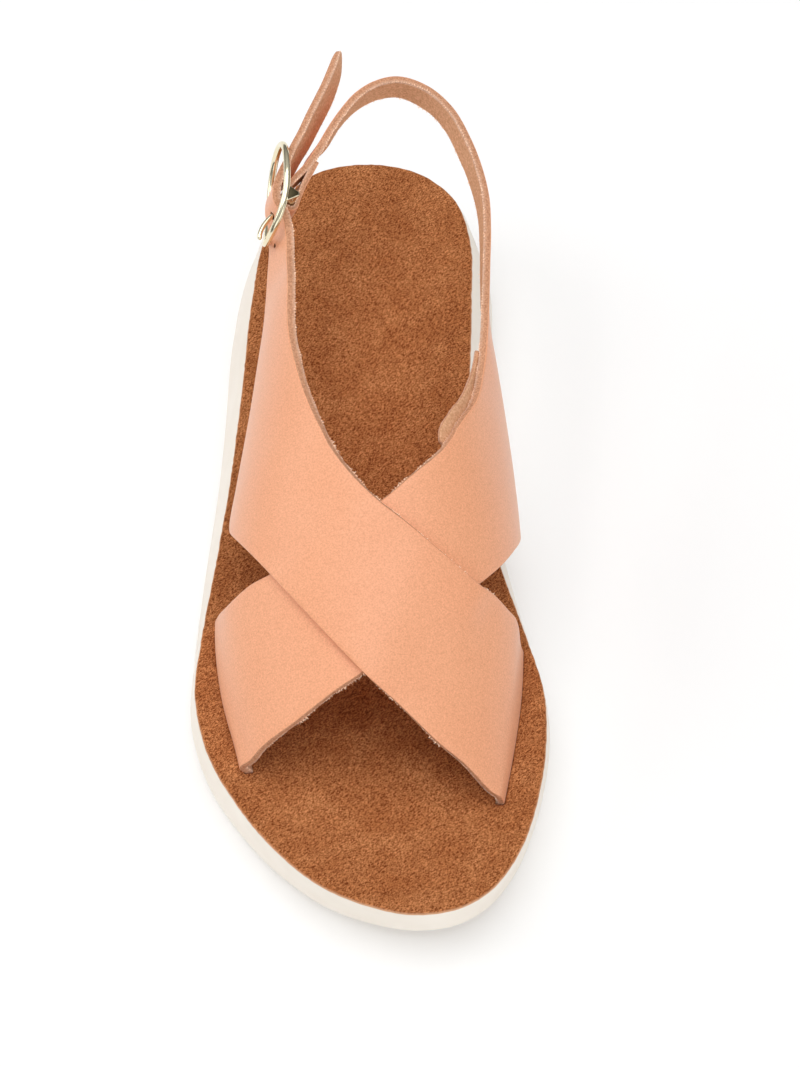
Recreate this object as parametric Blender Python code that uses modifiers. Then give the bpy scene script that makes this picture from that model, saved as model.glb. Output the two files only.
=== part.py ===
"""Platform sandal for the right foot: crossed straps, heel sling, suede footbed, cream sole and buckle.

The shoe is laid out in millimetres: x across (medial is +), y from the toe end of the footbed, z up from
the floor. place() turns those into metres about the middle of the sole, with the toe towards -Y.
"""

import math

import bmesh
import bpy
import numpy as np

MM = 0.001
GAP = 0.3  # clearance between neighbouring pieces

# Driving sizes of the foot and the sole
FOOTBED_LENGTH = 250.0
FOREFOOT_HEIGHT = 20.0
HEEL_HEIGHT = 31.0
CLIMB_FROM, CLIMB_TO = 80.0, 240.0  # the footbed climbs to its heel between these stations
TOE_LIFT = 3.0  # rise of the footbed's edge at the toe
TOE_LIFT_RUN = 65.0
TOE_SPRING = 7.0  # rise of the underside at the toe
TOE_SPRING_RUN = 45.0
WAIST_LIFT = 1.2
WAIST_FROM, WAIST_TO = 117.0, 187.0
HEEL_BEVEL = 1.0
HEEL_BEVEL_FROM = 243.0
SUEDE = 1.5  # suede and its backing board
HEEL_CUP = 2.5
FOREFOOT_DISH = 0.8
CUP_FROM, CUP_TO = 130.0, 200.0
DISH_END = 30.0  # the dish fades out over this length at toe and heel
SUEDE_EDGE = 0.4  # rounding of the footbed's upper edge
LEATHER = 2.2
SLOT_ROOM = 0.3  # spare length at each end of a slot
STRAP_BITE = 0.4  # the crossed straps are fused over this depth
RIDE_FADE = 12.0  # the over strap comes down beside the under one over this length

# Footbed outline: a row per station, with the tip and the heel end between the two sides
TOE_TIP = (13.0, 0.0)
HEEL_END = (-3.0, FOOTBED_LENGTH)
OUTLINE = (
    # from_toe, lateral, medial
    (3.0, -1.2, 25.9),
    (8.0, -11.6, 32.5),
    (20.0, -25.2, 40.2),
    (35.0, -36.3, 45.1),
    (50.0, -44.2, 47.7),
    (70.0, -48.7, 48.0),
    (90.0, -47.2, 43.0),
    (112.0, -44.1, 36.4),
    (140.0, -40.5, 30.2),
    (170.0, -37.7, 28.4),
    (200.0, -35.4, 29.0),
    (222.0, -32.1, 28.6),
    (236.0, -26.8, 24.5),
    (245.5, -18.8, 15.2),
)

# How far the foot of the sole's wall stands outside the footbed's edge
FLARE = (
    # from_toe, out
    (0.0, -3.1),
    (35.0, -0.8),
    (65.0, 1.3),
    (90.0, 2.7),
    (115.0, 4.3),
    (150.0, 4.9),
    (215.0, 5.3),
    (250.0, 3.7),
)
WALL = (
    # drop: share of the wall's height, out: share of the flare, in_mm: rounding of the lower edge
    (0.00, 0.00, 0.0),
    (0.05, 0.12, 0.0),
    (0.28, 0.48, 0.0),
    (0.58, 0.86, 0.0),
    (0.82, 1.00, 0.0),
    (0.93, 1.00, 0.5),
    (0.98, 1.00, 1.5),
    (1.00, 1.00, 3.2),
)

# The last: arched sections over the footbed
RIDGE = 2.0  # the instep's ridge lies this far towards the medial side
LAST = (
    # from_toe, lateral, medial, rise, fullness
    (20.0, -27.0, 31.0, 10.0, 1.5),
    (36.0, -31.0, 34.0, 20.0, 1.6),
    (50.0, -34.0, 36.5, 27.0, 1.7),
    (68.0, -38.5, 39.0, 34.0, 1.9),
    (88.0, -40.8, 40.0, 42.0, 2.1),
    (110.0, -39.5, 40.6, 51.0, 2.1),
    (130.0, -37.0, 39.2, 58.0, 2.0),
    (160.0, -32.8, 35.8, 68.0, 2.0),
    (190.0, -30.2, 34.3, 75.0, 2.0),
    (215.0, -28.5, 33.0, 84.0, 2.0),
)

# Straps on the last: front and rear edges by station and by degrees round the last (+90 is the medial edge)
OVER_STRAP = (
    # front_from_toe, front_around, rear_from_toe, rear_around
    (35.0, 90.0, 84.0, 90.0),
    (35.0, 66.5, 85.5, 73.5),
    (38.5, 47.0, 85.0, 62.0),
    (43.0, 32.5, 84.5, 50.5),
    (49.5, 12.5, 84.0, 40.5),
    (56.5, -7.0, 89.0, 22.5),
    (69.0, -21.0, 94.5, 10.0),
    (84.0, -35.5, 100.0, 0.0),
    (93.5, -46.5, 106.0, -6.5),
    (103.0, -60.0, 111.0, -12.0),
    (110.0, -70.0, 114.5, -15.5),
    (112.0, -72.5, 116.0, -17.0),
    (114.5, -74.5, 118.0, -18.5),
    (128.0, -73.0, 129.0, -27.0),
    (144.0, -69.5, 140.0, -34.0),
    (159.0, -68.0, 155.0, -41.5),
    (172.0, -65.0, 170.0, -44.5),
)
UNDER_STRAP = (
    # front_from_toe, front_around, rear_from_toe, rear_around
    (45.5, -90.0, 92.0, -90.0),
    (45.0, -71.5, 91.0, -81.0),
    (46.0, -60.0, 88.0, -69.0),
    (49.0, -37.5, 87.5, -50.0),
    (53.0, -22.5, 87.5, -39.5),
    (57.5, -7.5, 90.5, -23.0),
    (69.5, 18.0, 96.0, -10.5),
    (77.0, 29.5, 101.0, 0.0),
    (86.0, 43.5, 108.5, 11.0),
    (97.0, 59.0, 117.5, 23.5),
    (104.0, 67.5, 122.0, 28.0),
    (111.0, 76.0, 126.0, 31.5),
    (113.0, 78.0, 127.5, 33.0),
    (116.0, 78.0, 129.5, 35.0),
    (131.5, 77.5, 138.5, 44.0),
    (145.0, 76.0, 150.5, 52.0),
)

# A strap's foot: it rolls inwards over the footbed before it goes down into its slot
SLOT_ROLL = (
    # inwards from the strap's widest line, height over the footbed's edge
    (2.6, -4.5),
    (2.3, -2.0),
    (1.5, -0.4),
    (0.75, 0.5),
    (0.2, 1.5),
    (0.0, 2.6),
)

# Heel sling: its upper edge, from the medial quarter round the heel to the buckle
SLING = (
    # across, from_toe, rise over the footbed, width, lean: how far the lower edge stands outside
    (32.6, 161.0, 41.7, 14.0, 2.5),
    (33.1, 171.0, 41.8, 12.0, 0.9),
    (33.5, 182.5, 42.3, 10.5, 0.2),
    (33.6, 193.0, 43.8, 9.5, 0.2),
    (33.0, 202.0, 45.6, 9.0, 0.4),
    (30.7, 211.0, 47.5, 9.0, 0.8),
    (27.0, 219.8, 49.5, 9.0, 1.2),
    (22.2, 229.0, 51.3, 9.0, 1.5),
    (15.2, 235.5, 52.6, 9.0, 1.7),
    (6.9, 238.6, 53.2, 9.0, 1.7),
    (0.3, 236.8, 52.9, 9.0, 1.8),
    (-4.7, 233.0, 52.4, 9.0, 2.0),
    (-9.1, 227.6, 51.6, 9.0, 2.3),
    (-12.8, 221.5, 50.7, 9.0, 2.4),
)

# Buckle: an oval ring round the strap, with two lugs that hold a straight bar inside it
BUCKLE_CENTRE = (-26.5, 202.5, 75.2)
BUCKLE_RISE = 15.0  # degrees
BUCKLE_TURN = 1.0  # degrees inwards, towards the heel
BUCKLE_LEAN = 15.0  # degrees inwards at the top
RING_LENGTH, RING_WIDTH = 29.5, 22.0  # along the middle of the wire
RING_WIRE = 1.0  # radius
RING_KICK = 2.8  # the ring's front end curves outwards by this
RING_SEGMENTS = 48
BAR_RADIUS = 0.9
BAR_ALONG = -3.9  # the bar lies this far from the ring's middle, towards the prong's tip
BAR_DROP = 2.7  # and this far inside the ring
BAR_HALF = 10.8  # half its length
LUG_MIDDLE = 10.4  # a lug at each side of the ring holds the bar
LUG_THICK = 1.4
LUG_FOOT, LUG_TIP = 2.7, 0.9  # half its length along the ring, at the ring and at the bar
LUG_REACH = BAR_DROP + 1.1
PRONG_RADIUS = 0.7
PRONG_ROOM = 0.35  # clearance of the slit that the prong stands in
PRONG_EYE = BAR_RADIUS + GAP + PRONG_RADIUS
SKIVED = 0.6  # the sling's leather is thinned to this share where it folds round the bar
THREADED = 0.8  # and the over strap's to this share inside the ring

FOLD_RADIUS = BAR_RADIUS + GAP + LEATHER * SKIVED  # outer face of the sling where it turns round the bar
FOLD_HALF = 4.5  # half its width there
STRAP_OVER_BAR = FOLD_RADIUS - BAR_DROP + 2 * GAP + LEATHER * THREADED  # outer face of the over strap there

# The over strap through the buckle and out to its free end, in the buckle's own directions
OVER_THREAD = (
    # along, out, half_width, lean: extra degrees outwards at the top, thickness: share of the leather's
    (-22.0, -0.4, 8.0, -16.0, 1.0),
    (-14.5, -1.5, 6.4, -14.0, THREADED),
    (-9.0, 0.3, 5.7, -12.0, THREADED),
    (BAR_ALONG, STRAP_OVER_BAR, 5.4, 0.0, THREADED),
    (0.0, 2.5, 5.3, 2.0, THREADED),
    (4.5, 1.2, 5.3, 4.0, THREADED),
    (9.0, -0.9, 5.3, 8.0, THREADED),
    (13.5, -3.0, 5.3, 12.0, THREADED),
    (18.0, -5.6, 5.3, 19.0, 1.0),
    (24.0, -8.3, 5.2, 23.0, 1.0),
    (35.0, -12.8, 5.0, 23.0, 1.0),
    (42.0, -15.0, 4.4, 19.0, 1.0),
    (45.0, -15.7, 2.4, 18.0, 1.0),
)
UNDER_THREAD = (
    # along, out, half_width, lean, thickness: from the sling in under the over strap to the bar
    (14.4, -10.4, FOLD_HALF, 0.0, SKIVED),
    (9.3, -7.2, FOLD_HALF, 0.0, SKIVED),
    (4.0, -2.9, FOLD_HALF, 0.0, SKIVED),
    (-0.5, -0.5, FOLD_HALF, 0.0, SKIVED),
)
FOLD_SWEEP = (0.0, 180.0)  # degrees round the bar's front
FOLD_STEPS = 7
FOLD_BACK = (
    # along, out, half_width, lean, thickness: from the bar back along the inner side
    (1.4, -7.1, FOLD_HALF, 0.0, SKIVED),
    (5.5, -9.2, FOLD_HALF, 0.0, SKIVED),
    (9.3, -10.9, 4.3, 0.0, SKIVED),
)
PRONG_EYE_SWEEP = (-130.0, 90.0)  # degrees round the bar
PRONG_EYE_STEPS = 9
PRONG_SHANK = (
    # along, out: from the eye to the front of the ring
    (-5.6, 0.4),
    (-8.0, 2.6),
    (-11.0, 4.4),
    (-13.0, 5.0),
    (-14.6, 5.0),
)

FINE_STEPS = 1200  # resolution at which curves are measured
HALF_POINTS = 40  # points along each side of the outline
BED_COLUMNS = 9
STRAP_COLUMNS = 9  # points across a strap
STRAP_STEP = 4.5  # length of a strap's facets
ROD_RESOLUTION = 3
WELD = 0.001  # points this close are one
SHARP_ANGLE = 35.0  # edges steeper than this stay crisp


def hermite(xs, ys, x):
    """Values at x on the smooth curve through a table's columns."""
    slopes = np.gradient(ys, xs, axis=0)
    i = np.clip(np.searchsorted(xs, x) - 1, 0, len(xs) - 2)
    run = (xs[i + 1] - xs[i])[..., None]
    t = np.clip((x - xs[i])[..., None] / run, 0.0, 1.0)
    start = (1 + 2 * t) * (1 - t) ** 2 * ys[i] + t * (1 - t) ** 2 * run * slopes[i]
    end = t * t * (3 - 2 * t) * ys[i + 1] + t * t * (t - 1) * run * slopes[i + 1]
    return start + end


def at_station(table, from_toe):
    """A table's other columns at a distance from the toe."""
    rows = np.array(table)
    return hermite(rows[:, 0], rows[:, 1:], np.asarray(from_toe, float))


def evenly(points, count, first=0, last=-1):
    """count evenly spaced points on the smooth curve through points, between two of them."""
    points = np.array(points, float)
    steps = np.linalg.norm(np.diff(points, axis=0), axis=1)
    lengths = np.concatenate([[0.0], np.cumsum(steps)])
    curve = hermite(lengths, points, np.linspace(lengths[first], lengths[last], FINE_STEPS))
    run = np.concatenate([[0.0], np.cumsum(np.linalg.norm(np.diff(curve, axis=0), axis=1))])
    even = np.linspace(0.0, run[-1], count)
    return np.stack([np.interp(even, run, column) for column in curve.T], axis=1)


def smooth_step(t):
    t = np.clip(t, 0.0, 1.0)
    return t * t * (3 - 2 * t)


def edge_height(from_toe):
    """Height of the footbed's edge over the floor."""
    climb = smooth_step((from_toe - CLIMB_FROM) / (CLIMB_TO - CLIMB_FROM))
    toe = np.clip(1 - from_toe / TOE_LIFT_RUN, 0.0, 1.0) ** 2
    return FOREFOOT_HEIGHT + (HEEL_HEIGHT - FOREFOOT_HEIGHT) * climb + TOE_LIFT * toe


def bed_height(from_toe, share):
    """Height of the footbed's face, which is dished across, a share of the way from lateral to medial."""
    heel = smooth_step((from_toe - CUP_FROM) / (CUP_TO - CUP_FROM))
    cup = FOREFOOT_DISH + (HEEL_CUP - FOREFOOT_DISH) * heel
    ends = smooth_step(from_toe / DISH_END) * smooth_step((FOOTBED_LENGTH - from_toe) / DISH_END)
    return edge_height(from_toe) - cup * ends * (4 * share * (1 - share)) ** 2


def floor_height(from_toe):
    """Height of the sole's underside: flat under forefoot and heel, lifted at toe, waist and heel end."""
    spring = TOE_SPRING * np.clip(1 - from_toe / TOE_SPRING_RUN, 0.0, 2.0) ** 2
    waist = np.clip((from_toe - WAIST_FROM) / (WAIST_TO - WAIST_FROM), 0.0, 1.0)
    bevel = np.clip((from_toe - HEEL_BEVEL_FROM) / (FOOTBED_LENGTH - HEEL_BEVEL_FROM), 0.0, 2.0)
    return spring + WAIST_LIFT * np.sin(math.pi * waist) ** 2 + HEEL_BEVEL * bevel**2


def outline_sides():
    """The footbed's lateral and medial edges in plan, each from the toe's tip to the heel end."""
    lateral = [(row[1], row[0]) for row in OUTLINE]
    medial = [(row[2], row[0]) for row in OUTLINE]
    ring = [TOE_TIP] + lateral + [HEEL_END] + medial[::-1]
    closed = ring[-2:] + ring + ring[:3]
    tip = 2
    heel = tip + len(lateral) + 1
    back = tip + len(ring)
    first = evenly(closed, HALF_POINTS, tip, heel)
    second = evenly(closed, HALF_POINTS, heel, back)[::-1]
    return first, second


def loop_of(lateral, medial):
    """One closed loop from the two sides, without repeating the tip and the heel end."""
    return np.concatenate([lateral, medial[-2:0:-1]])


def spread(loop, out):
    """A plan loop moved outwards by out at each of its points."""
    ahead = np.roll(loop, -1, axis=0) - np.roll(loop, 1, axis=0)
    normal = np.stack([-ahead[:, 1], ahead[:, 0]], axis=1)
    normal /= np.linalg.norm(normal, axis=1)[:, None]
    return loop + normal * np.broadcast_to(out, len(loop))[:, None]


def sides_of(loop):
    """The two sides of a closed loop, each from tip to heel end."""
    lateral = loop[:HALF_POINTS]
    medial = np.concatenate([loop[:1], loop[HALF_POINTS:][::-1], loop[HALF_POINTS - 1 : HALF_POINTS]])
    return lateral, medial


def flared_loop():
    """The plan of the sole's foot."""
    loop = loop_of(*outline_sides())
    return spread(loop, at_station(FLARE, loop[:, 1])[:, 0])


FOOT_LOOP = flared_loop()
BED_LOOP = loop_of(*outline_sides())
BOTH_LOOPS = np.concatenate([FOOT_LOOP, BED_LOOP])
X_MIDDLE, Y_MIDDLE = (BOTH_LOOPS.min(axis=0) + BOTH_LOOPS.max(axis=0)) / 2


def place(points):
    """Shoe millimetres to metres about the middle of the sole's box."""
    return (np.asarray(points, float) - (X_MIDDLE, Y_MIDDLE, 0.0)) * MM


def lattice(lateral, medial, height):
    """Rows of points from side to side, with heights from a function of station and share across."""
    shares = np.linspace(0.0, 1.0, BED_COLUMNS)
    flat = lateral[:, None, :] * (1 - shares[None, :, None]) + medial[:, None, :] * shares[None, :, None]
    return np.concatenate([flat, height(flat[..., 1], shares[None, :])[..., None]], axis=2)


def last_point(from_toe, around, ride):
    """A point on the strap's outer face over the last, in shoe millimetres."""
    lateral, medial, rise, fullness = at_station(LAST, from_toe)
    angle = math.radians(around)
    thick = LEATHER + ride * (LEATHER - STRAP_BITE)
    half = (medial - RIDGE if around >= 0 else RIDGE - lateral) + thick
    sideways = math.copysign(abs(math.sin(angle)) ** (2 / fullness), around)
    upward = max(math.cos(angle), 0.0) ** (2 / fullness)
    return np.array([RIDGE + half * sideways, from_toe, edge_height(from_toe) + (rise + thick) * upward])


def ride_over(table, from_toe, around):
    """How far a strap rides up on the one in the table: 1 where it lies on it, fading to 0 beside it."""
    rows = np.array(table)
    rising = rows[: rows[:, 1].argmax() + 1]
    behind_front = from_toe - np.interp(around, rising[:, 1], rising[:, 0])
    before_rear = np.interp(around, rows[:, 3], rows[:, 2]) - from_toe
    return smooth_step(1 + min(behind_front, before_rear) / RIDE_FADE)


def strap_rows(table, beneath=None):
    """Points across a strap on the last and its share of thickness, row by row, starting inside its slot."""
    rows = []
    for front_from_toe, front_around, rear_from_toe, rear_around in table:
        stations = np.linspace(front_from_toe, rear_from_toe, STRAP_COLUMNS)
        angles = np.linspace(front_around, rear_around, STRAP_COLUMNS)
        rides = [ride_over(beneath, *at) if beneath else 0.0 for at in zip(stations, angles)]
        rows.append((np.array([last_point(*at) for at in zip(stations, angles, rides)]), 1.0))
    inwards = -math.copysign(1.0, table[0][1])
    foot = rows[0][0]
    roll = [(foot + np.array([inwards * across, 0.0, height]), 1.0) for across, height in SLOT_ROLL]
    return roll + rows[1:]


def straight_row(start, end, share):
    """Points straight across a strap, with its share of thickness."""
    return np.linspace(start, end, STRAP_COLUMNS), share


def buckle_axes():
    """Unit directions of the buckle: along the strap, across it upwards, and out from the foot."""
    rise, turn, lean = (math.radians(a) for a in (BUCKLE_RISE, BUCKLE_TURN, BUCKLE_LEAN))
    along = np.array([math.sin(turn) * math.cos(rise), math.cos(turn) * math.cos(rise), math.sin(rise)])
    level = np.array([-math.cos(turn), math.sin(turn), 0.0])
    upright = np.cross(level, along)
    upright *= math.copysign(1.0, upright[2])
    out = level * math.cos(lean) + upright * math.sin(lean)
    across = upright * math.cos(lean) - level * math.sin(lean)
    return along, across, out


def buckle_point(along, across, out):
    """A point given in the buckle's own directions, in shoe millimetres."""
    axes = buckle_axes()
    return np.array(BUCKLE_CENTRE) + along * axes[0] + across * axes[1] + out * axes[2]


def thread_rows(table):
    """Points across a strap that runs through the buckle; lean tips its upper edge outwards."""
    rows = []
    for along, out, half, lean, thickness in table:
        tip = math.radians(lean)
        up = half * math.cos(tip)
        side = half * math.sin(tip)
        lower = buckle_point(along, -up, out - side)
        rows.append(straight_row(lower, buckle_point(along, up, out + side), thickness))
    return rows


def sling_rows():
    """Points across the heel sling, from the medial quarter round to the buckle."""
    ahead = np.gradient(np.array(SLING)[:, :2], axis=0)
    outwards = np.stack([ahead[:, 1], -ahead[:, 0]], axis=1) / np.linalg.norm(ahead, axis=1)[:, None]
    rows = []
    for (across, from_toe, rise, width, lean), outward in zip(SLING, outwards):
        top = np.array([across, from_toe, edge_height(from_toe) + rise])
        lower = top + np.array([*(outward * lean), -width])
        rows.append(straight_row(lower, top, 1.0))
    return rows


def fold_rows():
    """Points across the sling's end where it turns round the buckle's bar."""
    rows = []
    for degrees in np.linspace(*FOLD_SWEEP, FOLD_STEPS):
        angle = math.radians(degrees)
        along = BAR_ALONG - FOLD_RADIUS * math.sin(angle)
        out = FOLD_RADIUS * math.cos(angle) - BAR_DROP
        rows += thread_rows([(along, out, FOLD_HALF, 0.0, SKIVED)])
    return rows


def turned(rows):
    """The same strap with its edges swapped, for one that crosses the foot towards the lateral side."""
    return [(row[::-1], share) for row, share in rows]


def through(rows):
    """Rows on the smooth strap through the given ones, about STRAP_STEP apart, and their thickness."""
    table = np.array([np.append(row, share) for row, share in rows])
    middle = np.array([row.mean(axis=0) for row, _ in rows])
    steps = np.linalg.norm(np.diff(middle, axis=0), axis=1)
    lengths = np.concatenate([[0.0], np.cumsum(steps)])
    marks = [lengths[:1]]
    for start, step in zip(lengths, steps):
        parts = max(1, round(step / STRAP_STEP))
        marks.append(start + step * np.arange(1, parts + 1) / parts)
    curve = hermite(lengths, table, np.concatenate(marks))
    return curve[:, :-1].reshape(-1, STRAP_COLUMNS, 3), curve[:, -1]


def sheet_faces(count, columns):
    """Quads of a grid of points, row by row."""
    return [
        (i * columns + j, (i + 1) * columns + j, (i + 1) * columns + j + 1, i * columns + j + 1)
        for i in range(count - 1)
        for j in range(columns - 1)
    ]


def band(name, rows, room=0.0):
    """A strap: a sheet of its outer face, with Solidify adding the leather inwards, and room all round."""
    grid, shares = through(rows)
    mesh = bpy.data.meshes.new(name)
    mesh.from_pydata(place(grid.reshape(-1, 3)).tolist(), [], sheet_faces(len(grid), STRAP_COLUMNS))
    mesh.shade_smooth()
    strap = bpy.data.objects.new(name, mesh)
    thickness = strap.vertex_groups.new(name="thickness")
    for i, share in enumerate(shares):
        across = list(range(i * STRAP_COLUMNS, (i + 1) * STRAP_COLUMNS))
        thickness.add(across, float(share), "REPLACE")
    shell = strap.modifiers.new("leather", "SOLIDIFY")
    shell.thickness = (LEATHER + 2 * room) * MM
    shell.offset = 2 * room / (LEATHER + 2 * room) - 1.0
    shell.use_quality_normals = True
    shell.vertex_group = thickness.name
    return strap


def closed_solid(name, grids):
    """One closed mesh from grids of points that share their borders."""
    shape = bmesh.new()
    for grid in grids:
        points = place(grid.reshape(-1, 3))
        corners = [shape.verts.new(point) for point in points]
        for face in sheet_faces(grid.shape[0], grid.shape[1]):
            shape.faces.new([corners[k] for k in face])
    bmesh.ops.remove_doubles(shape, verts=shape.verts, dist=WELD * MM)
    bmesh.ops.recalc_face_normals(shape, faces=shape.faces)
    mesh = bpy.data.meshes.new(name)
    shape.to_mesh(mesh)
    shape.free()
    return bpy.data.objects.new(name, mesh)


def with_height(loop, height):
    """A plan loop lifted to its heights and closed on itself."""
    ring = np.concatenate([loop, np.reshape(height, (-1, 1))], axis=1)
    return np.concatenate([ring, ring[:1]])


def make_sole():
    """The platform: flared walls from the footbed's edge down to a flat-footed underside."""
    drop_to_sole = SUEDE + GAP
    flare = at_station(FLARE, BED_LOOP[:, 1])[:, 0]
    rings = []
    for drop, share, rounding in WALL:
        loop = spread(BED_LOOP, flare * share - rounding)
        top = edge_height(BED_LOOP[:, 1]) - drop_to_sole
        rings.append(with_height(loop, top * (1 - drop) + floor_height(loop[:, 1]) * drop))
    upper = lattice(*sides_of(BED_LOOP), lambda station, share: bed_height(station, share) - drop_to_sole)
    foot = spread(BED_LOOP, flare * WALL[-1][1] - WALL[-1][2])
    under = lattice(*sides_of(foot), lambda station, share: floor_height(station) + 0.0 * share)
    return closed_solid("platform_sole", [upper, np.array(rings), under])


def make_footbed():
    """The suede-covered insole: a thin dished layer with the sole's outline."""
    inner = spread(BED_LOOP, -SUEDE_EDGE)
    edge = edge_height(BED_LOOP[:, 1])
    rings = [
        with_height(inner, edge_height(inner[:, 1])),
        with_height(BED_LOOP, edge - SUEDE_EDGE),
        with_height(BED_LOOP, edge - SUEDE),
    ]
    face = lattice(*sides_of(inner), bed_height)
    back = lattice(*sides_of(BED_LOOP), lambda station, share: bed_height(station, share) - SUEDE)
    return closed_solid("suede_footbed", [face, np.array(rings), back])


def slot_cutter(name, rows):
    """The room that a strap's end needs in the footbed and the sole."""
    deeper = (rows[0][0] - np.array([0.0, 0.0, GAP]), 1.0)
    longer = []
    for row, share in [deeper] + rows[:4]:
        ends = np.linspace(-SLOT_ROOM, SLOT_ROOM, STRAP_COLUMNS)[:, None]
        longer.append((row + ends * (row[-1] - row[0]) / np.linalg.norm(row[-1] - row[0]), share))
    return band(name, longer, GAP)


def tube(name, path, radius, cyclic=False):
    """A round rod along a path in the buckle's own directions, as a mesh with its caps welded."""
    curve = bpy.data.curves.new(name, "CURVE")
    curve.dimensions = "3D"
    curve.bevel_depth = radius * MM
    curve.bevel_resolution = ROD_RESOLUTION
    curve.use_fill_caps = True
    spline = curve.splines.new("POLY")
    spline.points.add(len(path) - 1)
    for point, (along, across, out) in zip(spline.points, path):
        point.co = (*place(buckle_point(along, across, out)), 1.0)
    spline.use_cyclic_u = cyclic
    guide = bpy.data.objects.new(name, curve)
    bpy.context.scene.collection.objects.link(guide)
    graph = bpy.context.evaluated_depsgraph_get()
    mesh = bpy.data.meshes.new_from_object(guide.evaluated_get(graph))
    bpy.data.objects.remove(guide)
    shape = bmesh.new()
    shape.from_mesh(mesh)
    bmesh.ops.remove_doubles(shape, verts=shape.verts, dist=WELD * MM)
    bmesh.ops.recalc_face_normals(shape, faces=shape.faces)
    shape.to_mesh(mesh)
    shape.free()
    return bpy.data.objects.new(name, mesh)


def ring_path():
    """The middle of the buckle's oval wire, curved outwards at its front."""
    path = []
    for k in range(RING_SEGMENTS):
        angle = 2 * math.pi * k / RING_SEGMENTS
        along = RING_LENGTH / 2 * math.cos(angle)
        across = RING_WIDTH / 2 * math.sin(angle)
        kick = RING_KICK * min(math.cos(angle), 0.0) ** 2
        path.append((along, across, kick))
    return path


def bar_path():
    """The middle of the bar, straight from lug to lug."""
    return [(BAR_ALONG, -BAR_HALF, -BAR_DROP), (BAR_ALONG, BAR_HALF, -BAR_DROP)]


def lug(name, across):
    """The plate that holds an end of the bar, narrowing from the ring inwards."""
    plan = [(-LUG_FOOT, 0.0), (LUG_FOOT, 0.0), (LUG_TIP, -LUG_REACH), (-LUG_TIP, -LUG_REACH)]
    faces = []
    for side in (across - LUG_THICK / 2, across + LUG_THICK / 2):
        faces.append([buckle_point(BAR_ALONG + along, side, out) for along, out in plan])
    walls = np.array([face + face[:1] for face in faces])
    caps = [np.array([[face[0], face[1]], [face[3], face[2]]]) for face in faces]
    return closed_solid(name, [walls] + caps)


def prong_path():
    """The prong's eye round the bar, and its shank out to the front of the ring."""
    path = []
    for degrees in np.linspace(*PRONG_EYE_SWEEP, PRONG_EYE_STEPS):
        angle = math.radians(degrees)
        along = BAR_ALONG + PRONG_EYE * math.cos(angle)
        path.append((along, 0.0, PRONG_EYE * math.sin(angle) - BAR_DROP))
    return path + [(along, 0.0, out) for along, out in PRONG_SHANK]


def finish(name, colour, roughness, metallic=0.0):
    """A Principled material from an sRGB hex colour."""
    material = bpy.data.materials.new(name)
    material.use_nodes = True
    shader = material.node_tree.nodes["Principled BSDF"]
    channels = [int(colour[k : k + 2], 16) / 255 for k in (1, 3, 5)]
    linear = [c / 12.92 if c <= 0.04045 else ((c + 0.055) / 1.055) ** 2.4 for c in channels]
    shader.inputs["Base Color"].default_value = (*linear, 1.0)
    shader.inputs["Roughness"].default_value = roughness
    shader.inputs["Metallic"].default_value = metallic
    return material


def boolean(target, tool, operation):
    """Joins a tool to the target, or cuts it away."""
    step = target.modifiers.new(tool.name, "BOOLEAN")
    step.operation = operation
    step.object = tool


def show(piece, collection, material):
    """Puts a finished piece in the shoe's collection with its material."""
    collection.objects.link(piece)
    piece.data.materials.clear()
    piece.data.materials.append(material)
    piece.data.shade_smooth()
    piece.data.set_sharp_from_angle(angle=math.radians(SHARP_ANGLE))


def hide(tool, collection):
    """Keeps a cutter or a joined half out of the finished shoe."""
    collection.objects.link(tool)
    tool.hide_render = True
    tool.display_type = "WIRE"
    return tool


def main():
    for old in list(bpy.data.objects):
        bpy.data.objects.remove(old)
    shoe = bpy.data.collections.new("platform_sandal")
    tools = bpy.data.collections.new("cutters")
    for collection in (shoe, tools):
        bpy.context.scene.collection.children.link(collection)

    leather = finish("vegetable_tanned_leather", "#EFAE86", 0.5)
    suede = finish("brown_suede", "#A5663D", 0.9)
    rubber = finish("cream_rubber", "#F2ECE2", 0.55)
    gold = finish("pale_gold_plate", "#E3C88A", 0.2, 1.0)

    slots = [
        hide(slot_cutter("medial_slot", turned(strap_rows(OVER_STRAP))), tools),
        hide(slot_cutter("lateral_slot", strap_rows(UNDER_STRAP)), tools),
    ]
    for piece, material in ((make_sole(), rubber), (make_footbed(), suede)):
        for slot in slots:
            boolean(piece, slot, "DIFFERENCE")
        show(piece, shoe, material)

    over_rows = strap_rows(OVER_STRAP, UNDER_STRAP) + thread_rows(OVER_THREAD)
    upper = band("upper_straps", turned(over_rows))
    under_rows = strap_rows(UNDER_STRAP) + sling_rows()
    under_rows += thread_rows(UNDER_THREAD) + fold_rows() + thread_rows(FOLD_BACK)
    under = hide(band("under_strap", under_rows), tools)
    slit = hide(tube("prong_slit", prong_path(), PRONG_RADIUS + PRONG_ROOM), tools)
    boolean(upper, under, "UNION")
    boolean(upper, slit, "DIFFERENCE")
    show(upper, shoe, leather)

    frame = tube("buckle_frame", ring_path(), RING_WIRE, cyclic=True)
    for inner in (
        tube("buckle_bar", bar_path(), BAR_RADIUS),
        lug("lower_lug", -LUG_MIDDLE),
        lug("upper_lug", LUG_MIDDLE),
    ):
        boolean(frame, hide(inner, tools), "UNION")
    show(frame, shoe, gold)
    show(tube("buckle_prong", prong_path(), PRONG_RADIUS), shoe, gold)


main()
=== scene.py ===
"""Dressed scene of a platform sandal for the right foot, photographed on a white table.

The shoe is laid out in millimetres: x across (medial is +), y from the toe end of the footbed, z up from
the floor. place() turns those into metres in the row frame.
"""

from __future__ import annotations

import logging
import math
from dataclasses import dataclass, field
from enum import IntEnum
from typing import Any, Callable, Sequence

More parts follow.
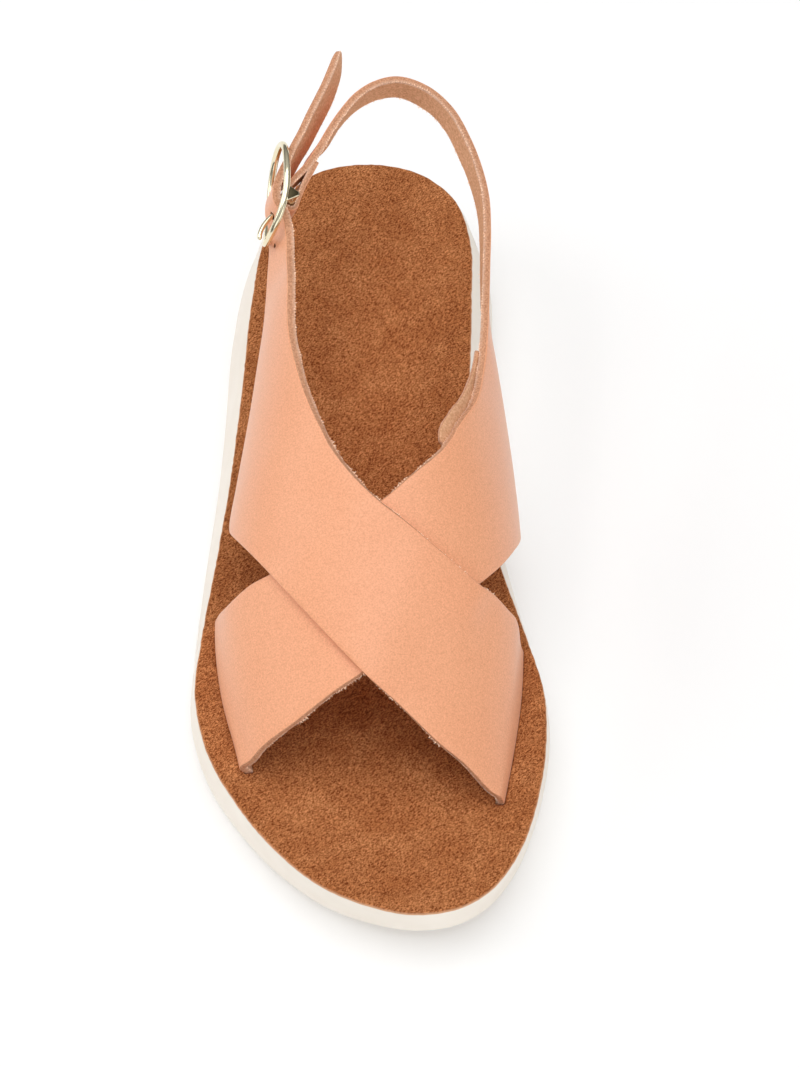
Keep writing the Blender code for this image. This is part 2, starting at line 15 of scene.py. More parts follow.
import bmesh
import bpy
import numpy as np
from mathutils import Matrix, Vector

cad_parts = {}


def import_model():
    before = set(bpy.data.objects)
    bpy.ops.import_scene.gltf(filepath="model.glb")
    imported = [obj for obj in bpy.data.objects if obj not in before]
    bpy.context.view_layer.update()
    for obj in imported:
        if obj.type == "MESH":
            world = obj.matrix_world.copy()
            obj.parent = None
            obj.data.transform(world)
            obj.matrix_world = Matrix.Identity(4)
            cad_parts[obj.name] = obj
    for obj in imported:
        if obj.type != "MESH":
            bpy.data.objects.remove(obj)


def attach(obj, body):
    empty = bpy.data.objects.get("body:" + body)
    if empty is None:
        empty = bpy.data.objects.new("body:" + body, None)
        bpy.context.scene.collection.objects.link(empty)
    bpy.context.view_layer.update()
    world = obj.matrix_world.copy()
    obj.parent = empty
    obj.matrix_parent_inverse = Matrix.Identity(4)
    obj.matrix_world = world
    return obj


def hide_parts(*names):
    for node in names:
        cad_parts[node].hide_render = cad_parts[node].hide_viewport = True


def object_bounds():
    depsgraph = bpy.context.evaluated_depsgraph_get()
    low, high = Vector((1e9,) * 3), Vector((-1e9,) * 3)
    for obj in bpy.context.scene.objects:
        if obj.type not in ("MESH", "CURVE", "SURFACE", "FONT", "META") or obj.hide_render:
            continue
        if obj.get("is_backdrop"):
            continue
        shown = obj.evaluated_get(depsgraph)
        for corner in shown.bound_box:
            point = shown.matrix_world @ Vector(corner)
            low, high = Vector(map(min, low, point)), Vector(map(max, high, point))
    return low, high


LOG = logging.getLogger("platform_sandal")
MM = 0.001
MIDDLE = (-0.49810949, 126.84906824, 0.0)  # of the sole's box, in shoe millimetres
BODY = "root"
FRAY = "fray"  # the mesh attribute that says how frayed a point is
WHITE = "#FFFFFF"
WELD = 0.002  # millimetres within which the points of two grids are one
CURVE_SAMPLES = 4000  # fine steps in which a guide curve is measured
ROD_SIDES = 18
LEATHER = 2.2  # thickness of the straps, in millimetres

Array = np.ndarray
Table = Sequence[Sequence[float]]
Row = tuple[Array, float]  # points across a strap, share of the leather's thickness
Settings = dict[Any, Any]  # what a shader node takes
Tree = bpy.types.NodeTree
Object = bpy.types.Object

# Footbed outline: a row per station, with the tip and the heel end between the two sides
TOE_TIP = (13.0, 0.0)
HEEL_END = (-3.0, 250.0)
OUTLINE = (
    # from_toe, lateral, medial
    (3.0, -1.2, 25.9),
    (8.0, -11.6, 32.5),
    (20.0, -25.2, 40.2),
    (35.0, -36.3, 45.1),
    (50.0, -44.2, 47.7),
    (70.0, -48.7, 48.0),
    (90.0, -47.2, 43.0),
    (112.0, -44.1, 36.4),
    (140.0, -40.5, 30.2),
    (170.0, -37.7, 28.4),
    (200.0, -35.4, 29.0),
    (222.0, -32.1, 28.6),
    (236.0, -26.8, 24.5),
    (245.5, -18.8, 15.2),
)

# How far the foot of the sole's wall stands outside the footbed's edge
FLARE = (
    # from_toe, out
    (0.0, -3.1),
    (35.0, -0.8),
    (65.0, 1.3),
    (90.0, 2.7),
    (115.0, 4.3),
    (150.0, 4.9),
    (215.0, 6.2),
    (250.0, 4.2),
)
WALL = (
    # drop: share of the wall's height, out: share of the flare, in_mm: rounding of the lower edge
    (0.00, 0.00, 0.0),
    (0.05, 0.12, 0.0),
    (0.28, 0.48, 0.0),
    (0.58, 0.86, 0.0),
    (0.82, 1.00, 0.0),
    (0.93, 1.00, 0.5),
    (0.98, 1.00, 1.5),
    (1.00, 1.00, 3.2),
)

# The last: arched sections over the footbed
LAST = (
    # from_toe, lateral, medial, rise, fullness
    (20.0, -27.0, 31.0, 10.0, 1.5),
    (36.0, -31.0, 34.0, 20.0, 1.6),
    (50.0, -34.0, 36.5, 27.0, 1.7),
    (68.0, -38.5, 39.0, 34.0, 1.9),
    (88.0, -40.8, 40.0, 42.0, 2.1),
    (110.0, -39.5, 40.6, 51.0, 2.1),
    (130.0, -37.0, 39.2, 58.0, 2.0),
    (160.0, -32.8, 35.8, 68.0, 2.0),
    (190.0, -30.2, 34.3, 75.0, 2.0),
    (215.0, -28.5, 33.0, 84.0, 2.0),
)

# Straps on the last: front and rear edges by station and by degrees round the last (+90 is the medial edge)
OVER_STRAP = (
    # front_from_toe, front_around, rear_from_toe, rear_around
    (35.0, 90.0, 84.0, 90.0),
    (35.2, 66.5, 85.5, 73.5),
    (38.9, 47.0, 85.0, 62.0),
    (42.1, 32.5, 84.5, 50.5),
    (49.5, 12.5, 84.0, 40.5),
    (56.5, -7.0, 89.0, 22.5),
    (69.0, -21.0, 94.5, 10.0),
    (84.0, -35.5, 100.0, 0.0),
    (93.5, -46.5, 106.0, -6.5),
    (103.0, -60.0, 111.0, -12.0),
    (110.0, -70.0, 114.5, -15.5),
    (112.0, -72.5, 116.0, -17.0),
    (114.5, -74.5, 118.0, -18.5),
    (128.0, -73.0, 129.0, -27.0),
    (144.0, -69.5, 140.0, -34.0),
    (159.0, -68.0, 155.0, -41.5),
    (172.0, -65.0, 170.0, -44.5),
)
UNDER_STRAP = (
    # front_from_toe, front_around, rear_from_toe, rear_around
    (45.0, -90.0, 92.0, -90.0),
    (44.8, -71.5, 91.0, -81.0),
    (46.0, -60.0, 88.0, -69.0),
    (49.0, -37.5, 87.5, -50.0),
    (53.0, -22.5, 87.5, -39.5),
    (57.5, -7.5, 90.5, -23.0),
    (69.5, 18.0, 96.0, -10.5),
    (77.0, 29.5, 100.6, 0.6),
    (86.0, 43.5, 107.8, 12.2),
    (97.0, 59.0, 116.5, 25.3),
    (104.0, 67.5, 120.9, 30.0),
    (111.0, 76.0, 124.9, 33.5),
    (113.0, 78.0, 126.4, 35.0),
    (116.0, 78.0, 128.4, 37.0),
    (131.5, 77.5, 137.6, 45.7),
    (145.0, 76.0, 150.0, 52.9),
)

# The way the suede's nap is brushed: radians in plan from straight across the shoe
BRUSHING = 0.75

# A strap's foot: the lateral one rolls inwards over the footbed before it goes down into its slot
LATERAL_ROLL = (
    # inwards from the strap's widest line, height over the footbed's edge
    (1.2, -4.5),
    (1.2, -2.0),
    (0.9, -0.5),
    (0.2, 0.3),
    (-0.4, 1.1),
    (-0.5, 2.2),
)
MEDIAL_ROLL = (
    # inwards from the strap's widest line, height over the footbed's edge
    (1.2, -4.5),
    (0.6, -2.0),
    (-0.2, -0.4),
    (-0.3, 0.5),
    (-0.1, 1.5),
    (0.2, 2.6),
)

# Heel sling: its upper edge, from the medial quarter round the heel to the buckle
SLING = (
    # across, from_toe, rise over the footbed, width, lean: how far the lower edge stands outside
    (32.6, 161.0, 41.7, 14.0, 2.5),
    (33.1, 171.0, 41.8, 12.0, 0.2),
    (33.5, 182.5, 42.3, 10.5, -0.6),
    (33.8, 193.0, 43.8, 9.5, -1.0),
    (33.4, 202.0, 45.6, 9.0, -1.2),
    (31.4, 211.0, 47.5, 9.0, -1.3),
    (28.1, 219.8, 49.5, 9.0, -1.3),
    (22.9, 229.4, 51.3, 9.0, -0.5),
    (15.9, 235.9, 52.6, 9.0, 0.4),
    (6.9, 238.9, 53.2, 9.0, 1.9),
    (0.3, 237.2, 52.9, 9.0, 2.4),
    (-4.7, 233.6, 52.4, 9.0, 2.6),
    (-9.1, 227.9, 51.6, 9.0, 2.8),
    (-13.0, 221.4, 50.7, 9.0, 2.5),
)


def hermite(xs: Array, ys: Array, x: Array) -> Array:
    """Values on the smooth curve through a table.

    Args:
        xs: rising positions of the table's rows.
        ys: the rows, one for each position.
        x: where the curve is wanted.

    Returns:
        One row for each x.
    """
    slopes = np.gradient(ys, xs, axis=0)
    i = np.clip(np.searchsorted(xs, x) - 1, 0, len(xs) - 2)
    run = (xs[i + 1] - xs[i])[..., None]
    t = np.clip((x - xs[i])[..., None] / run, 0.0, 1.0)
    start = (1 + 2 * t) * (1 - t) ** 2 * ys[i] + t * (1 - t) ** 2 * run * slopes[i]
    end = t * t * (3 - 2 * t) * ys[i + 1] + t * t * (t - 1) * run * slopes[i + 1]
    return start + end


def at_station(table: Table, from_toe: Any) -> Array:
    """A table's other columns at distances from the toe."""
    rows = np.array(table)
    return hermite(rows[:, 0], rows[:, 1:], np.asarray(from_toe, float))


def run_of(points: Array) -> Array:
    """Distance along a line of points, from its first one."""
    return np.concatenate([[0.0], np.cumsum(np.linalg.norm(np.diff(points, axis=0), axis=1))])


def evenly(points: Table, count: int, first: int = 0, last: int = -1) -> Array:
    """Evenly spaced points on the smooth curve through the given ones.

    Args:
        points: the curve's guide points.
        count: how many points are wanted.
        first: guide point to start from.
        last: guide point to end at.

    Returns:
        The points, first and last included.
    """
    guide = np.array(points, float)
    lengths = run_of(guide)
    curve = hermite(lengths, guide, np.linspace(lengths[first], lengths[last], CURVE_SAMPLES))
    run = run_of(curve)
    even = np.linspace(0.0, run[-1], count)
    return np.stack([np.interp(even, run, column) for column in curve.T], axis=1)


def smooth_step(t: Any) -> Array:
    """A soft step from 0 to 1."""
    t = np.clip(t, 0.0, 1.0)
    return t * t * (3 - 2 * t)


def wobble(run: Array, wave: float, seed: int) -> Array:
    """Seeded smooth noise between -1 and 1.

    Args:
        run: distances along an edge.
        wave: length of one wave, in the same unit.
        seed: which noise.

    Returns:
        One value for each distance.
    """
    t = (run - run.min()) / wave
    knots = np.random.default_rng(seed).uniform(-1.0, 1.0, int(t.max()) + 3)
    i = t.astype(int)
    f = smooth_step(t - i)
    return knots[i] * (1 - f) + knots[i + 1] * f


def unit(vectors: Array) -> Array:
    """Vectors scaled to length 1."""
    return vectors / np.maximum(np.linalg.norm(vectors, axis=-1, keepdims=True), 1e-12)


def place(points: Any) -> Array:
    """Shoe millimetres to metres in the row frame."""
    return (np.asarray(points, float) - MIDDLE) * MM


def spread(loop: Array, out: Any) -> Array:
    """A closed plan loop moved outwards.

    Args:
        loop: the loop's points.
        out: how far, one value or one for each point.

    Returns:
        The moved points.
    """
    ahead = np.roll(loop, -1, axis=0) - np.roll(loop, 1, axis=0)
    normal = unit(np.stack([-ahead[:, 1], ahead[:, 0]], axis=1))
    return loop + normal * np.broadcast_to(out, len(loop))[:, None]


def linear(colour: str) -> tuple[float, float, float, float]:
    """An sRGB hex colour as the linear colour that a shader takes.

    Args:
        colour: such as #A8663F.

    Returns:
        Red, green, blue and full alpha.
    """
    channels = [int(colour[k : k + 2], 16) / 255 for k in (1, 3, 5)]
    values = [c / 12.92 if c <= 0.04045 else ((c + 0.055) / 1.055) ** 2.4 for c in channels]
    return (values[0], values[1], values[2], 1.0)


def per_mm(size: float) -> float:
    """Scale of a pattern whose features are this many millimetres across."""
    return 1.0 / (size * MM)


def give(tree: Tree, node: Any, settings: Settings) -> None:
    """Gives a shader node its settings.

    Args:
        tree: the node's tree.
        node: the node.
        settings: what each property or input takes, an input by name or number: a value, a hex colour or
            the output that is joined to it.
    """
    for key, value in settings.items():
        if not isinstance(key, int) and key not in node.inputs:
            setattr(node, key, value)
        elif isinstance(value, bpy.types.NodeSocket):
            tree.links.new(value, node.inputs[key])
        else:
            node.inputs[key].default_value = linear(value) if isinstance(value, str) else value


def add_node(tree: Tree, kind: str, settings: Settings) -> Any:
    """Adds one shader node.

    Args:
        tree: the material's node tree.
        kind: the node's type.
        settings: its settings and links, as give() takes them.

    Returns:
        The node.
    """
    node = tree.nodes.new(kind)
    give(tree, node, settings)
    return node


class Mix(IntEnum):
    """Sockets of a colour mix node."""

    FACTOR = 0
    FIRST = 6
    SECOND = 7
    RESULT = 2


# Settings of a colour mix node: one colour over another, and one colour tinting another
BLEND: Settings = {"data_type": "RGBA"}
TINT: Settings = {"data_type": "RGBA", "blend_type": "MULTIPLY", Mix.FACTOR: 1.0}


@dataclass(frozen=True)
class Finish:
    """What all the materials have; each kind adds a pattern of its own. Sizes are in millimetres."""

    name: str
    colour: str
    roughness: float
    metallic: float = 0.0
    specular: float = 0.5

    def make(self) -> bpy.types.Material:
        """Builds the material.

        Returns:
            The material, with its pattern joined to its shader.
        """
        material = bpy.data.materials.new(self.name)
        material.use_nodes = True
        material.diffuse_color = linear(self.colour)
        tree = material.node_tree
        shader = tree.nodes["Principled BSDF"]
        even = {
            "Base Color": self.colour,
            "Roughness": self.roughness,
            "Metallic": self.metallic,
            "Specular IOR Level": self.specular,
        }
        give(tree, shader, even)
        give(tree, shader, self.pattern(tree))
        return material

    def pattern(self, tree: Tree) -> Settings:
        """What a plain material's shader takes besides its even values: nothing."""
        return {}

    def speckle(
        self,
        tree: Tree,
        size: float,
        contrast: float,
        detail: float = 2.0,
        twist: float = 0.0,
        brushed: float = 1.0,
    ) -> Any:
        """Cloudy noise in the shoe's own space.

        Args:
            tree: the material's node tree.
            size: size of its features in millimetres.
            contrast: half the span of noise values that is stretched to 0..1; less is harder.
            detail: octaves of finer noise.
            twist: how far the features are drawn out into curls.
            brushed: how many times as long as wide they are, along the brushing.

        Returns:
            The output that runs from 0 to 1.
        """
        where = add_node(tree, "ShaderNodeTexCoord", {}).outputs["Object"]
        if brushed != 1.0:
            turned = {"vector_type": "TEXTURE", "Rotation": (0, 0, BRUSHING), "Scale": (brushed, 1, 1)}
            where = add_node(tree, "ShaderNodeMapping", {**turned, "Vector": where}).outputs["Vector"]
        noise = add_node(
            tree,
            "ShaderNodeTexNoise",
            {
                "Scale": per_mm(size),
                "Detail": detail,
                "Roughness": 0.6,
                "Distortion": twist,
                "Vector": where,
            },
        )
        stretched = add_node(
            tree,
            "ShaderNodeMapRange",
            {"From Min": 0.5 - contrast, "From Max": 0.5 + contrast, "Value": noise.outputs["Fac"]},
        )
        return stretched.outputs["Result"]


@dataclass(frozen=True)
class GrainLeather(Finish):
    """Smooth grain side of vegetable-tanned leather: an even satin peach tan with fine mottling and pores."""

    cloud: str = "#FDB388"
    cloud_size: float = 26.0
    mottle: str = "#E3D8CF"
    mottle_size: float = 0.45
    pore_size: float = 0.55  # real pores are nearer 0.2 mm; drawn coarser so that they show
    pore_depth: float = 0.06
    wax: str = "#FFF4EC"  # colour of the sheen that a waxed grain has at a slant

    def pattern(self, tree: Tree) -> Settings:
        """Clouds and mottling in the colour, pores in the relief, a thin coat of wax.

        Args:
            tree: the material's node tree.

        Returns:
            What the shader takes.
        """
        clouds = self.speckle(tree, self.cloud_size, 0.3)
        broad = add_node(
            tree,
            "ShaderNodeMix",
            BLEND | {Mix.FACTOR: clouds, Mix.FIRST: self.cloud, Mix.SECOND: self.colour},
        )
        mottles = self.speckle(tree, self.mottle_size, 0.2, 3.0)
        fine = add_node(
            tree,
            "ShaderNodeMix",
            BLEND | {Mix.FACTOR: mottles, Mix.FIRST: self.mottle, Mix.SECOND: WHITE},
        )
        colour = add_node(
            tree,
            "ShaderNodeMix",
            TINT | {Mix.FIRST: broad.outputs[Mix.RESULT], Mix.SECOND: fine.outputs[Mix.RESULT]},
        )
        pores = self.speckle(tree, self.pore_size, 0.5, 3.0)
        relief = add_node(
            tree,
            "ShaderNodeBump",
            {"Strength": 0.3, "Distance": self.pore_depth * MM, "Height": pores},
        )
        return {
            "Base Color": colour.outputs[Mix.RESULT],
            "Normal": relief.outputs["Normal"],
            "Coat Weight": 0.12,
            "Coat Roughness": 0.5,
            "Sheen Weight": 0.25,
            "Sheen Roughness": 0.35,
            "Sheen Tint": self.wax,
        }


@dataclass(frozen=True)
class RawLeather(Finish):
    """Raw leather, on a cut edge or the flesh side: matt, speckled by fibres, paler where they fray."""

    dark: str = "#B67C5A"
    fibre: str = "#F8DAC4"
    nap_size: float = 0.5
    nap_depth: float = 0.15
    tuft_size: float = 0.8

    def pattern(self, tree: Tree) -> Settings:
        """Fibre speckle, and paler tufts along the frayed corner.

        Args:
            tree: the material's node tree.

        Returns:
            What the shader takes.
        """
        nap = self.speckle(tree, self.nap_size, 0.18, 3.0)
        body = add_node(
            tree,
            "ShaderNodeMix",
            BLEND | {Mix.FACTOR: nap, Mix.FIRST: self.dark, Mix.SECOND: self.colour},
        )
        fray = add_node(tree, "ShaderNodeAttribute", {"attribute_name": FRAY})
        tufts = self.speckle(tree, self.tuft_size, 0.3, 3.0)
        frayed = add_node(
            tree,
            "ShaderNodeMath",
            {"operation": "MULTIPLY", 0: fray.outputs["Fac"], 1: tufts},
        )
        ends = {Mix.FIRST: body.outputs[Mix.RESULT], Mix.SECOND: self.fibre}
        colour = add_node(tree, "ShaderNodeMix", BLEND | ends | {Mix.FACTOR: frayed.outputs["Value"]})
        relief = add_node(
            tree,
            "ShaderNodeBump",
            {"Strength": 0.6, "Distance": self.nap_depth * MM, "Height": nap},
        )
        return {"Base Color": colour.outputs[Mix.RESULT], "Normal": relief.outputs["Normal"]}


@dataclass(frozen=True)
class Suede(Finish):
    """Brown suede: a short curly nap that scatters light, in darker and lighter brushed patches."""

    dark: str = "#7A3E1B"
    light: str = "#DC945F"
    rim: str = "#DDA983"
    nap_size: float = 0.34  # the nap itself is finer; drawn coarser so that it shows
    nap_depth: float = 0.12
    curl: float = 1.0
    brushed: float = 2.0
    patch: str = "#E2D2C4"
    patch_size: float = 11.0

    def pattern(self, tree: Tree) -> Settings:
        """Curls of nap over brushed patches, a paler cut rim and a soft sheen.

        Args:
            tree: the material's node tree.

        Returns:
            What the shader takes.
        """
        curls = self.speckle(tree, self.nap_size, 0.11, twist=self.curl, brushed=self.brushed)
        napped = add_node(
            tree,
            "ShaderNodeMix",
            BLEND | {Mix.FACTOR: curls, Mix.FIRST: self.dark, Mix.SECOND: self.light},
        )
        stroked = self.speckle(tree, self.patch_size, 0.2, 4.0, 0.6)
        patches = add_node(
            tree,
            "ShaderNodeMix",
            BLEND | {Mix.FACTOR: stroked, Mix.FIRST: self.patch, Mix.SECOND: WHITE},
        )
        face = add_node(
            tree,
            "ShaderNodeMix",
            TINT | {Mix.FIRST: napped.outputs[Mix.RESULT], Mix.SECOND: patches.outputs[Mix.RESULT]},
        )
        fray = add_node(tree, "ShaderNodeAttribute", {"attribute_name": FRAY})
        ends = {Mix.FIRST: face.outputs[Mix.RESULT], Mix.SECOND: self.rim}
        colour = add_node(tree, "ShaderNodeMix", BLEND | ends | {Mix.FACTOR: fray.outputs["Fac"]})
        relief = add_node(
            tree,
            "ShaderNodeBump",
            {"Strength": 0.5, "Distance": self.nap_depth * MM, "Height": curls},
        )
        return {
            "Base Color": colour.outputs[Mix.RESULT],
            "Normal": relief.outputs["Normal"],
            "Sheen Weight": 0.15,
            "Sheen Roughness": 0.5,
            "Sheen Tint": self.light,
        }


@dataclass(frozen=True)
class MouldedRubber(Finish):
    """Foamed rubber from a blasted mould: soft cream, faintly clouded, with a fine matt pebble."""

    cloud: str = "#F7EDE0"
    cloud_size: float = 16.0
    pebble_size: float = 0.5  # real blasting is nearer 0.1 mm; drawn coarser so that it shows
    pebble_depth: float = 0.05

    def pattern(self, tree: Tree) -> Settings:
        """Faint clouds in the colour, the mould's pebble in the relief.

        Args:
            tree: the material's node tree.

        Returns:
            What the shader takes.
        """
        clouds = self.speckle(tree, self.cloud_size, 0.25)
        colour = add_node(
            tree,
            "ShaderNodeMix",
            BLEND | {Mix.FACTOR: clouds, Mix.FIRST: self.cloud, Mix.SECOND: self.colour},
        )
        pebble = self.speckle(tree, self.pebble_size, 0.4)
        relief = add_node(
            tree,
            "ShaderNodeBump",
            {"Strength": 0.3, "Distance": self.pebble_depth * MM, "Height": pebble},
        )
        return {"Base Color": colour.outputs[Mix.RESULT], "Normal": relief.outputs["Normal"]}


@dataclass(frozen=True)
class GoldPlate(Finish):
    """Thin pale gold on cast metal: bright where it is polished, duller in patches that wear has rubbed."""

    rubbed: float = 0.2  # roughness of the rubbed patches
    patch_size: float = 1.8
    ripple_size: float = 1.1
    ripple_depth: float = 0.03

    def pattern(self, tree: Tree) -> Settings:
        """Rubbed patches in the gloss, the casting's slight ripples in the relief.

        Args:
            tree: the material's node tree.

        Returns:
            What the shader takes.
        """
        patches = self.speckle(tree, self.patch_size, 0.25, 3.0)
        gloss = add_node(
            tree,
            "ShaderNodeMapRange",
            {"Value": patches, "To Min": self.roughness, "To Max": self.rubbed},
        )
        ripples = self.speckle(tree, self.ripple_size, 0.5)
        relief = add_node(
            tree,
            "ShaderNodeBump",
            {"Strength": 0.15, "Distance": self.ripple_depth * MM, "Height": ripples},
        )
        return {"Roughness": gloss.outputs["Result"], "Normal": relief.outputs["Normal"]}


@dataclass(frozen=True)
class LooseFibre(Finish):
    """Loose pale fibres with a painted glow: emission stands in for the light that would shine through them.
    """

    tan: str = "#F5D0B2"
    tuft_size: float = 1.5
    # strength of the painted glow: emission in place of light shining through the thin fibres
    glow: float = 0.2

    def pattern(self, tree: Tree) -> Settings:
        """Tanner and paler tufts, and a painted glow of emission in place of the light scattered through
        them.

        Args:
            tree: the material's node tree.

        Returns:
            What the shader takes.
        """
        tufts = self.speckle(tree, self.tuft_size, 0.2)
        colour = add_node(
            tree,
            "ShaderNodeMix",
            BLEND | {Mix.FACTOR: tufts, Mix.FIRST: self.tan, Mix.SECOND: self.colour},
        )
        return {
            "Base Color": colour.outputs[Mix.RESULT],
            "Emission Color": self.colour,
            "Emission Strength": self.glow,
        }


@dataclass(frozen=True)
class StudioPaper(Finish):
    """White paper table lit from beneath as well, so that only the closest shadows show."""

    glow: float = 0.13

    def pattern(self, tree: Tree) -> Settings:
        """Light that comes through the table."""
        return {"Emission Color": WHITE, "Emission Strength": self.glow}


@dataclass
class Surface:
    """Collects grids of points into one mesh, with a material number and a fray value."""

    points: list[Array] = field(default_factory=list)
    faces: list[tuple[int, ...]] = field(default_factory=list)
    kinds: list[int] = field(default_factory=list)  # material number of each face
    fray: list[Array] = field(default_factory=list)  # how frayed each point is
    count: int = 0  # of points

    def add_grid(self, grid: Array, kinds: Any = 0, fray: Array | None = None, ring: bool = False) -> int:
        """Adds rows of points, in shoe millimetres, as quads.

        Args:
            grid: rows by columns by 3.
            kinds: material number, or one for each column of faces.
            fray: how frayed each point is.
            ring: joins the last column to the first.

        Returns:
            Number of the grid's first point.
        """
        rows, columns = grid.shape[:2]
        start = self.count
        wide = columns if ring else columns - 1
        kind = np.broadcast_to(kinds, wide)
        for i in range(rows - 1):
            here = start + i * columns
            for j in range(wide):
                k = (j + 1) % columns
                self.faces.append((here + j, here + columns + j, here + columns + k, here + k))
                self.kinds.append(int(kind[j]))
        self.points.append(grid.reshape(-1, 3))
        self.fray.append(np.zeros(rows * columns) if fray is None else fray.reshape(-1))
        self.count += rows * columns
        return start

    def add_cap(self, corners: Sequence[int], kind: int = 0) -> None:
        """Closes an end with one face."""
        self.faces.append(tuple(corners))
        self.kinds.append(kind)

    def build(self, name: str, finishes: Sequence[bpy.types.Material], weld: float = 0.0) -> Object:
        """Makes the object.

        Args:
            name: the piece's name.
            finishes: materials, by number.
            weld: points this close, in millimetres, become one.

        Returns:
            The object, in the scene.
        """
        mesh = bpy.data.meshes.new(name)
        mesh.from_pydata(place(np.concatenate(self.points)).tolist(), [], self.faces)
        mesh.polygons.foreach_set("material_index", self.kinds)
        mesh.attributes.new(FRAY, "FLOAT", "POINT").data.foreach_set("value", np.concatenate(self.fray))
        for finish in finishes:
            mesh.materials.append(finish)
        shape = bmesh.new()
        shape.from_mesh(mesh)
        if weld:
            bmesh.ops.remove_doubles(shape, verts=shape.verts, dist=weld * MM)
        bmesh.ops.recalc_face_normals(shape, faces=shape.faces)
        shape.to_mesh(mesh)
        shape.free()
        mesh.shade_smooth()
        piece = bpy.data.objects.new(name, mesh)
        bpy.context.scene.collection.objects.link(piece)
        return piece


def cut(piece: Object, cutters: Sequence[Object]) -> None:
    """Cuts tools away from a piece for good.

    Args:
        piece: the piece, whose mesh is replaced.
        cutters: the tools, which stay in the scene.
    """
    for cutter in cutters:
        step = piece.modifiers.new(cutter.name, "BOOLEAN")
        step.operation = "DIFFERENCE"
        step.object = cutter
    graph = bpy.context.evaluated_depsgraph_get()
    mesh = bpy.data.meshes.new_from_object(piece.evaluated_get(graph))
    piece.modifiers.clear()
    piece.data = mesh


def mount(piece: Object, slot: str, *nodes: str) -> Object:
    """Fixes a piece to the shoe.

    Args:
        piece: the piece.
        slot: not used.
        nodes: the CAD nodes that it stands for.

    Returns:
        The piece.
    """
    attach(piece, BODY)
    if nodes:
        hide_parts(*nodes)
    return piece


@dataclass(frozen=True)
class Form:
    """Driving sizes of the sole, the footbed and the last, and the surfaces that they give."""

    length: float = 250.0
    forefoot_height: float = 20.0
    heel_height: float = 31.0
    climb: tuple[float, float] = (80.0, 240.0)  # stations between which the footbed rises
    toe_lift: float = 3.0
    toe_lift_run: float = 65.0
    toe_spring: float = 7.0
    toe_spring_run: float = 45.0
    waist_lift: float = 1.2
    waist: tuple[float, float] = (117.0, 187.0)  # stations between which the sole is off the floor
    heel_bevel: float = 1.0
    heel_bevel_from: float = 243.0
    heel_cup: float = 2.5
    forefoot_dish: float = 0.8
    cup: tuple[float, float] = (130.0, 200.0)  # stations between which the dish deepens
    dish_end: float = 30.0  # length over which it fades at either end
    ridge: float = 2.0  # where the last is highest, across

    def edge_height(self, from_toe: Any) -> Array:
        """Height of the footbed's edge over the floor.

        Args:
            from_toe: stations.

        Returns:
            One height for each station.
        """
        start, end = self.climb
        climb = smooth_step((from_toe - start) / (end - start))
        toe = np.clip(1 - from_toe / self.toe_lift_run, 0.0, 1.0) ** 2
        return self.forefoot_height + (self.heel_height - self.forefoot_height) * climb + self.toe_lift * toe

    def bed_height(self, from_toe: Array, share: Array) -> Array:
        """Height of the footbed's dished face.

        Args:
            from_toe: stations.
            share: shares of the way from lateral to medial.

        Returns:
            Heights over the floor.
        """
        start, end = self.cup
        heel = smooth_step((from_toe - start) / (end - start))
        dish = self.forefoot_dish + (self.heel_cup - self.forefoot_dish) * heel
        ends = smooth_step(from_toe / self.dish_end) * smooth_step((self.length - from_toe) / self.dish_end)
        return self.edge_height(from_toe) - dish * ends * (4 * share * (1 - share)) ** 2

    def floor_height(self, from_toe: Array) -> Array:
        """Height of the sole's underside, lifted at toe, waist and heel end.

        Args:
            from_toe: stations.

        Returns:
            One height for each station.
        """
        spring = self.toe_spring * np.clip(1 - from_toe / self.toe_spring_run, 0.0, 2.0) ** 2
        start, end = self.waist
        waist = np.clip((from_toe - start) / (end - start), 0.0, 1.0)
        bevel = np.clip((from_toe - self.heel_bevel_from) / (self.length - self.heel_bevel_from), 0.0, 2.0)
        return spring + self.waist_lift * np.sin(math.pi * waist) ** 2 + self.heel_bevel * bevel**2

    def loop(self, count: int) -> Array:
        """The footbed's outline as a closed plan loop.

        Args:
            count: points along each side.

        Returns:
            Points from the toe's tip along the lateral side to the heel and back.
        """
        lateral = [(row[1], row[0]) for row in OUTLINE]
        medial = [(row[2], row[0]) for row in OUTLINE]
        ring = [TOE_TIP] + lateral + [HEEL_END] + medial[::-1]
        # A few points past the tip at both ends keep the curve smooth there
        guide = ring[-2:] + ring + ring[:3]
        tip, heel = 2, 3 + len(lateral)
        first = evenly(guide, count, tip, heel)
        second = evenly(guide, count, heel, tip + len(ring))
        return np.concatenate([first, second[1:-1]])

    def lattice(self, loop: Array, columns: int, height: Callable[[Array, Array], Array]) -> Array:
        """Rows of points across a closed loop.

        Args:
            loop: plan loop from tip to heel end and back.
            columns: points in a row.
            height: height from station and share across.

        Returns:
            Rows by columns by 3.
        """
        count = len(loop) // 2 + 1
        lateral = loop[:count]
        medial = np.concatenate([loop[:1], loop[count:][::-1], loop[count - 1 : count]])
        shares = np.linspace(0.0, 1.0, columns)
        flat = lateral[:, None] * (1 - shares[None, :, None]) + medial[:, None] * shares[None, :, None]
        return np.concatenate([flat, height(flat[..., 1], shares[None, :])[..., None]], axis=2)

    def on_last(self, from_toe: Array, around: Array, out: Any) -> Array:
        """Points over the last.

        Args:
            from_toe: stations.
            around: degrees round the last, + towards the medial edge.
            out: how far outside the last.

        Returns:
            The points in shoe millimetres.
        """
        lateral, medial, rise, fullness = at_station(LAST, from_toe).T
        angle = np.radians(around)
        half = np.where(around >= 0, medial - self.ridge, self.ridge - lateral) + out
        sideways = np.sign(around) * np.abs(np.sin(angle)) ** (2 / fullness)
        upward = np.maximum(np.cos(angle), 0.0) ** (2 / fullness)
        height = self.edge_height(from_toe) + (rise + out) * upward
        return np.stack([self.ridge + half * sideways, from_toe, height], axis=-1)


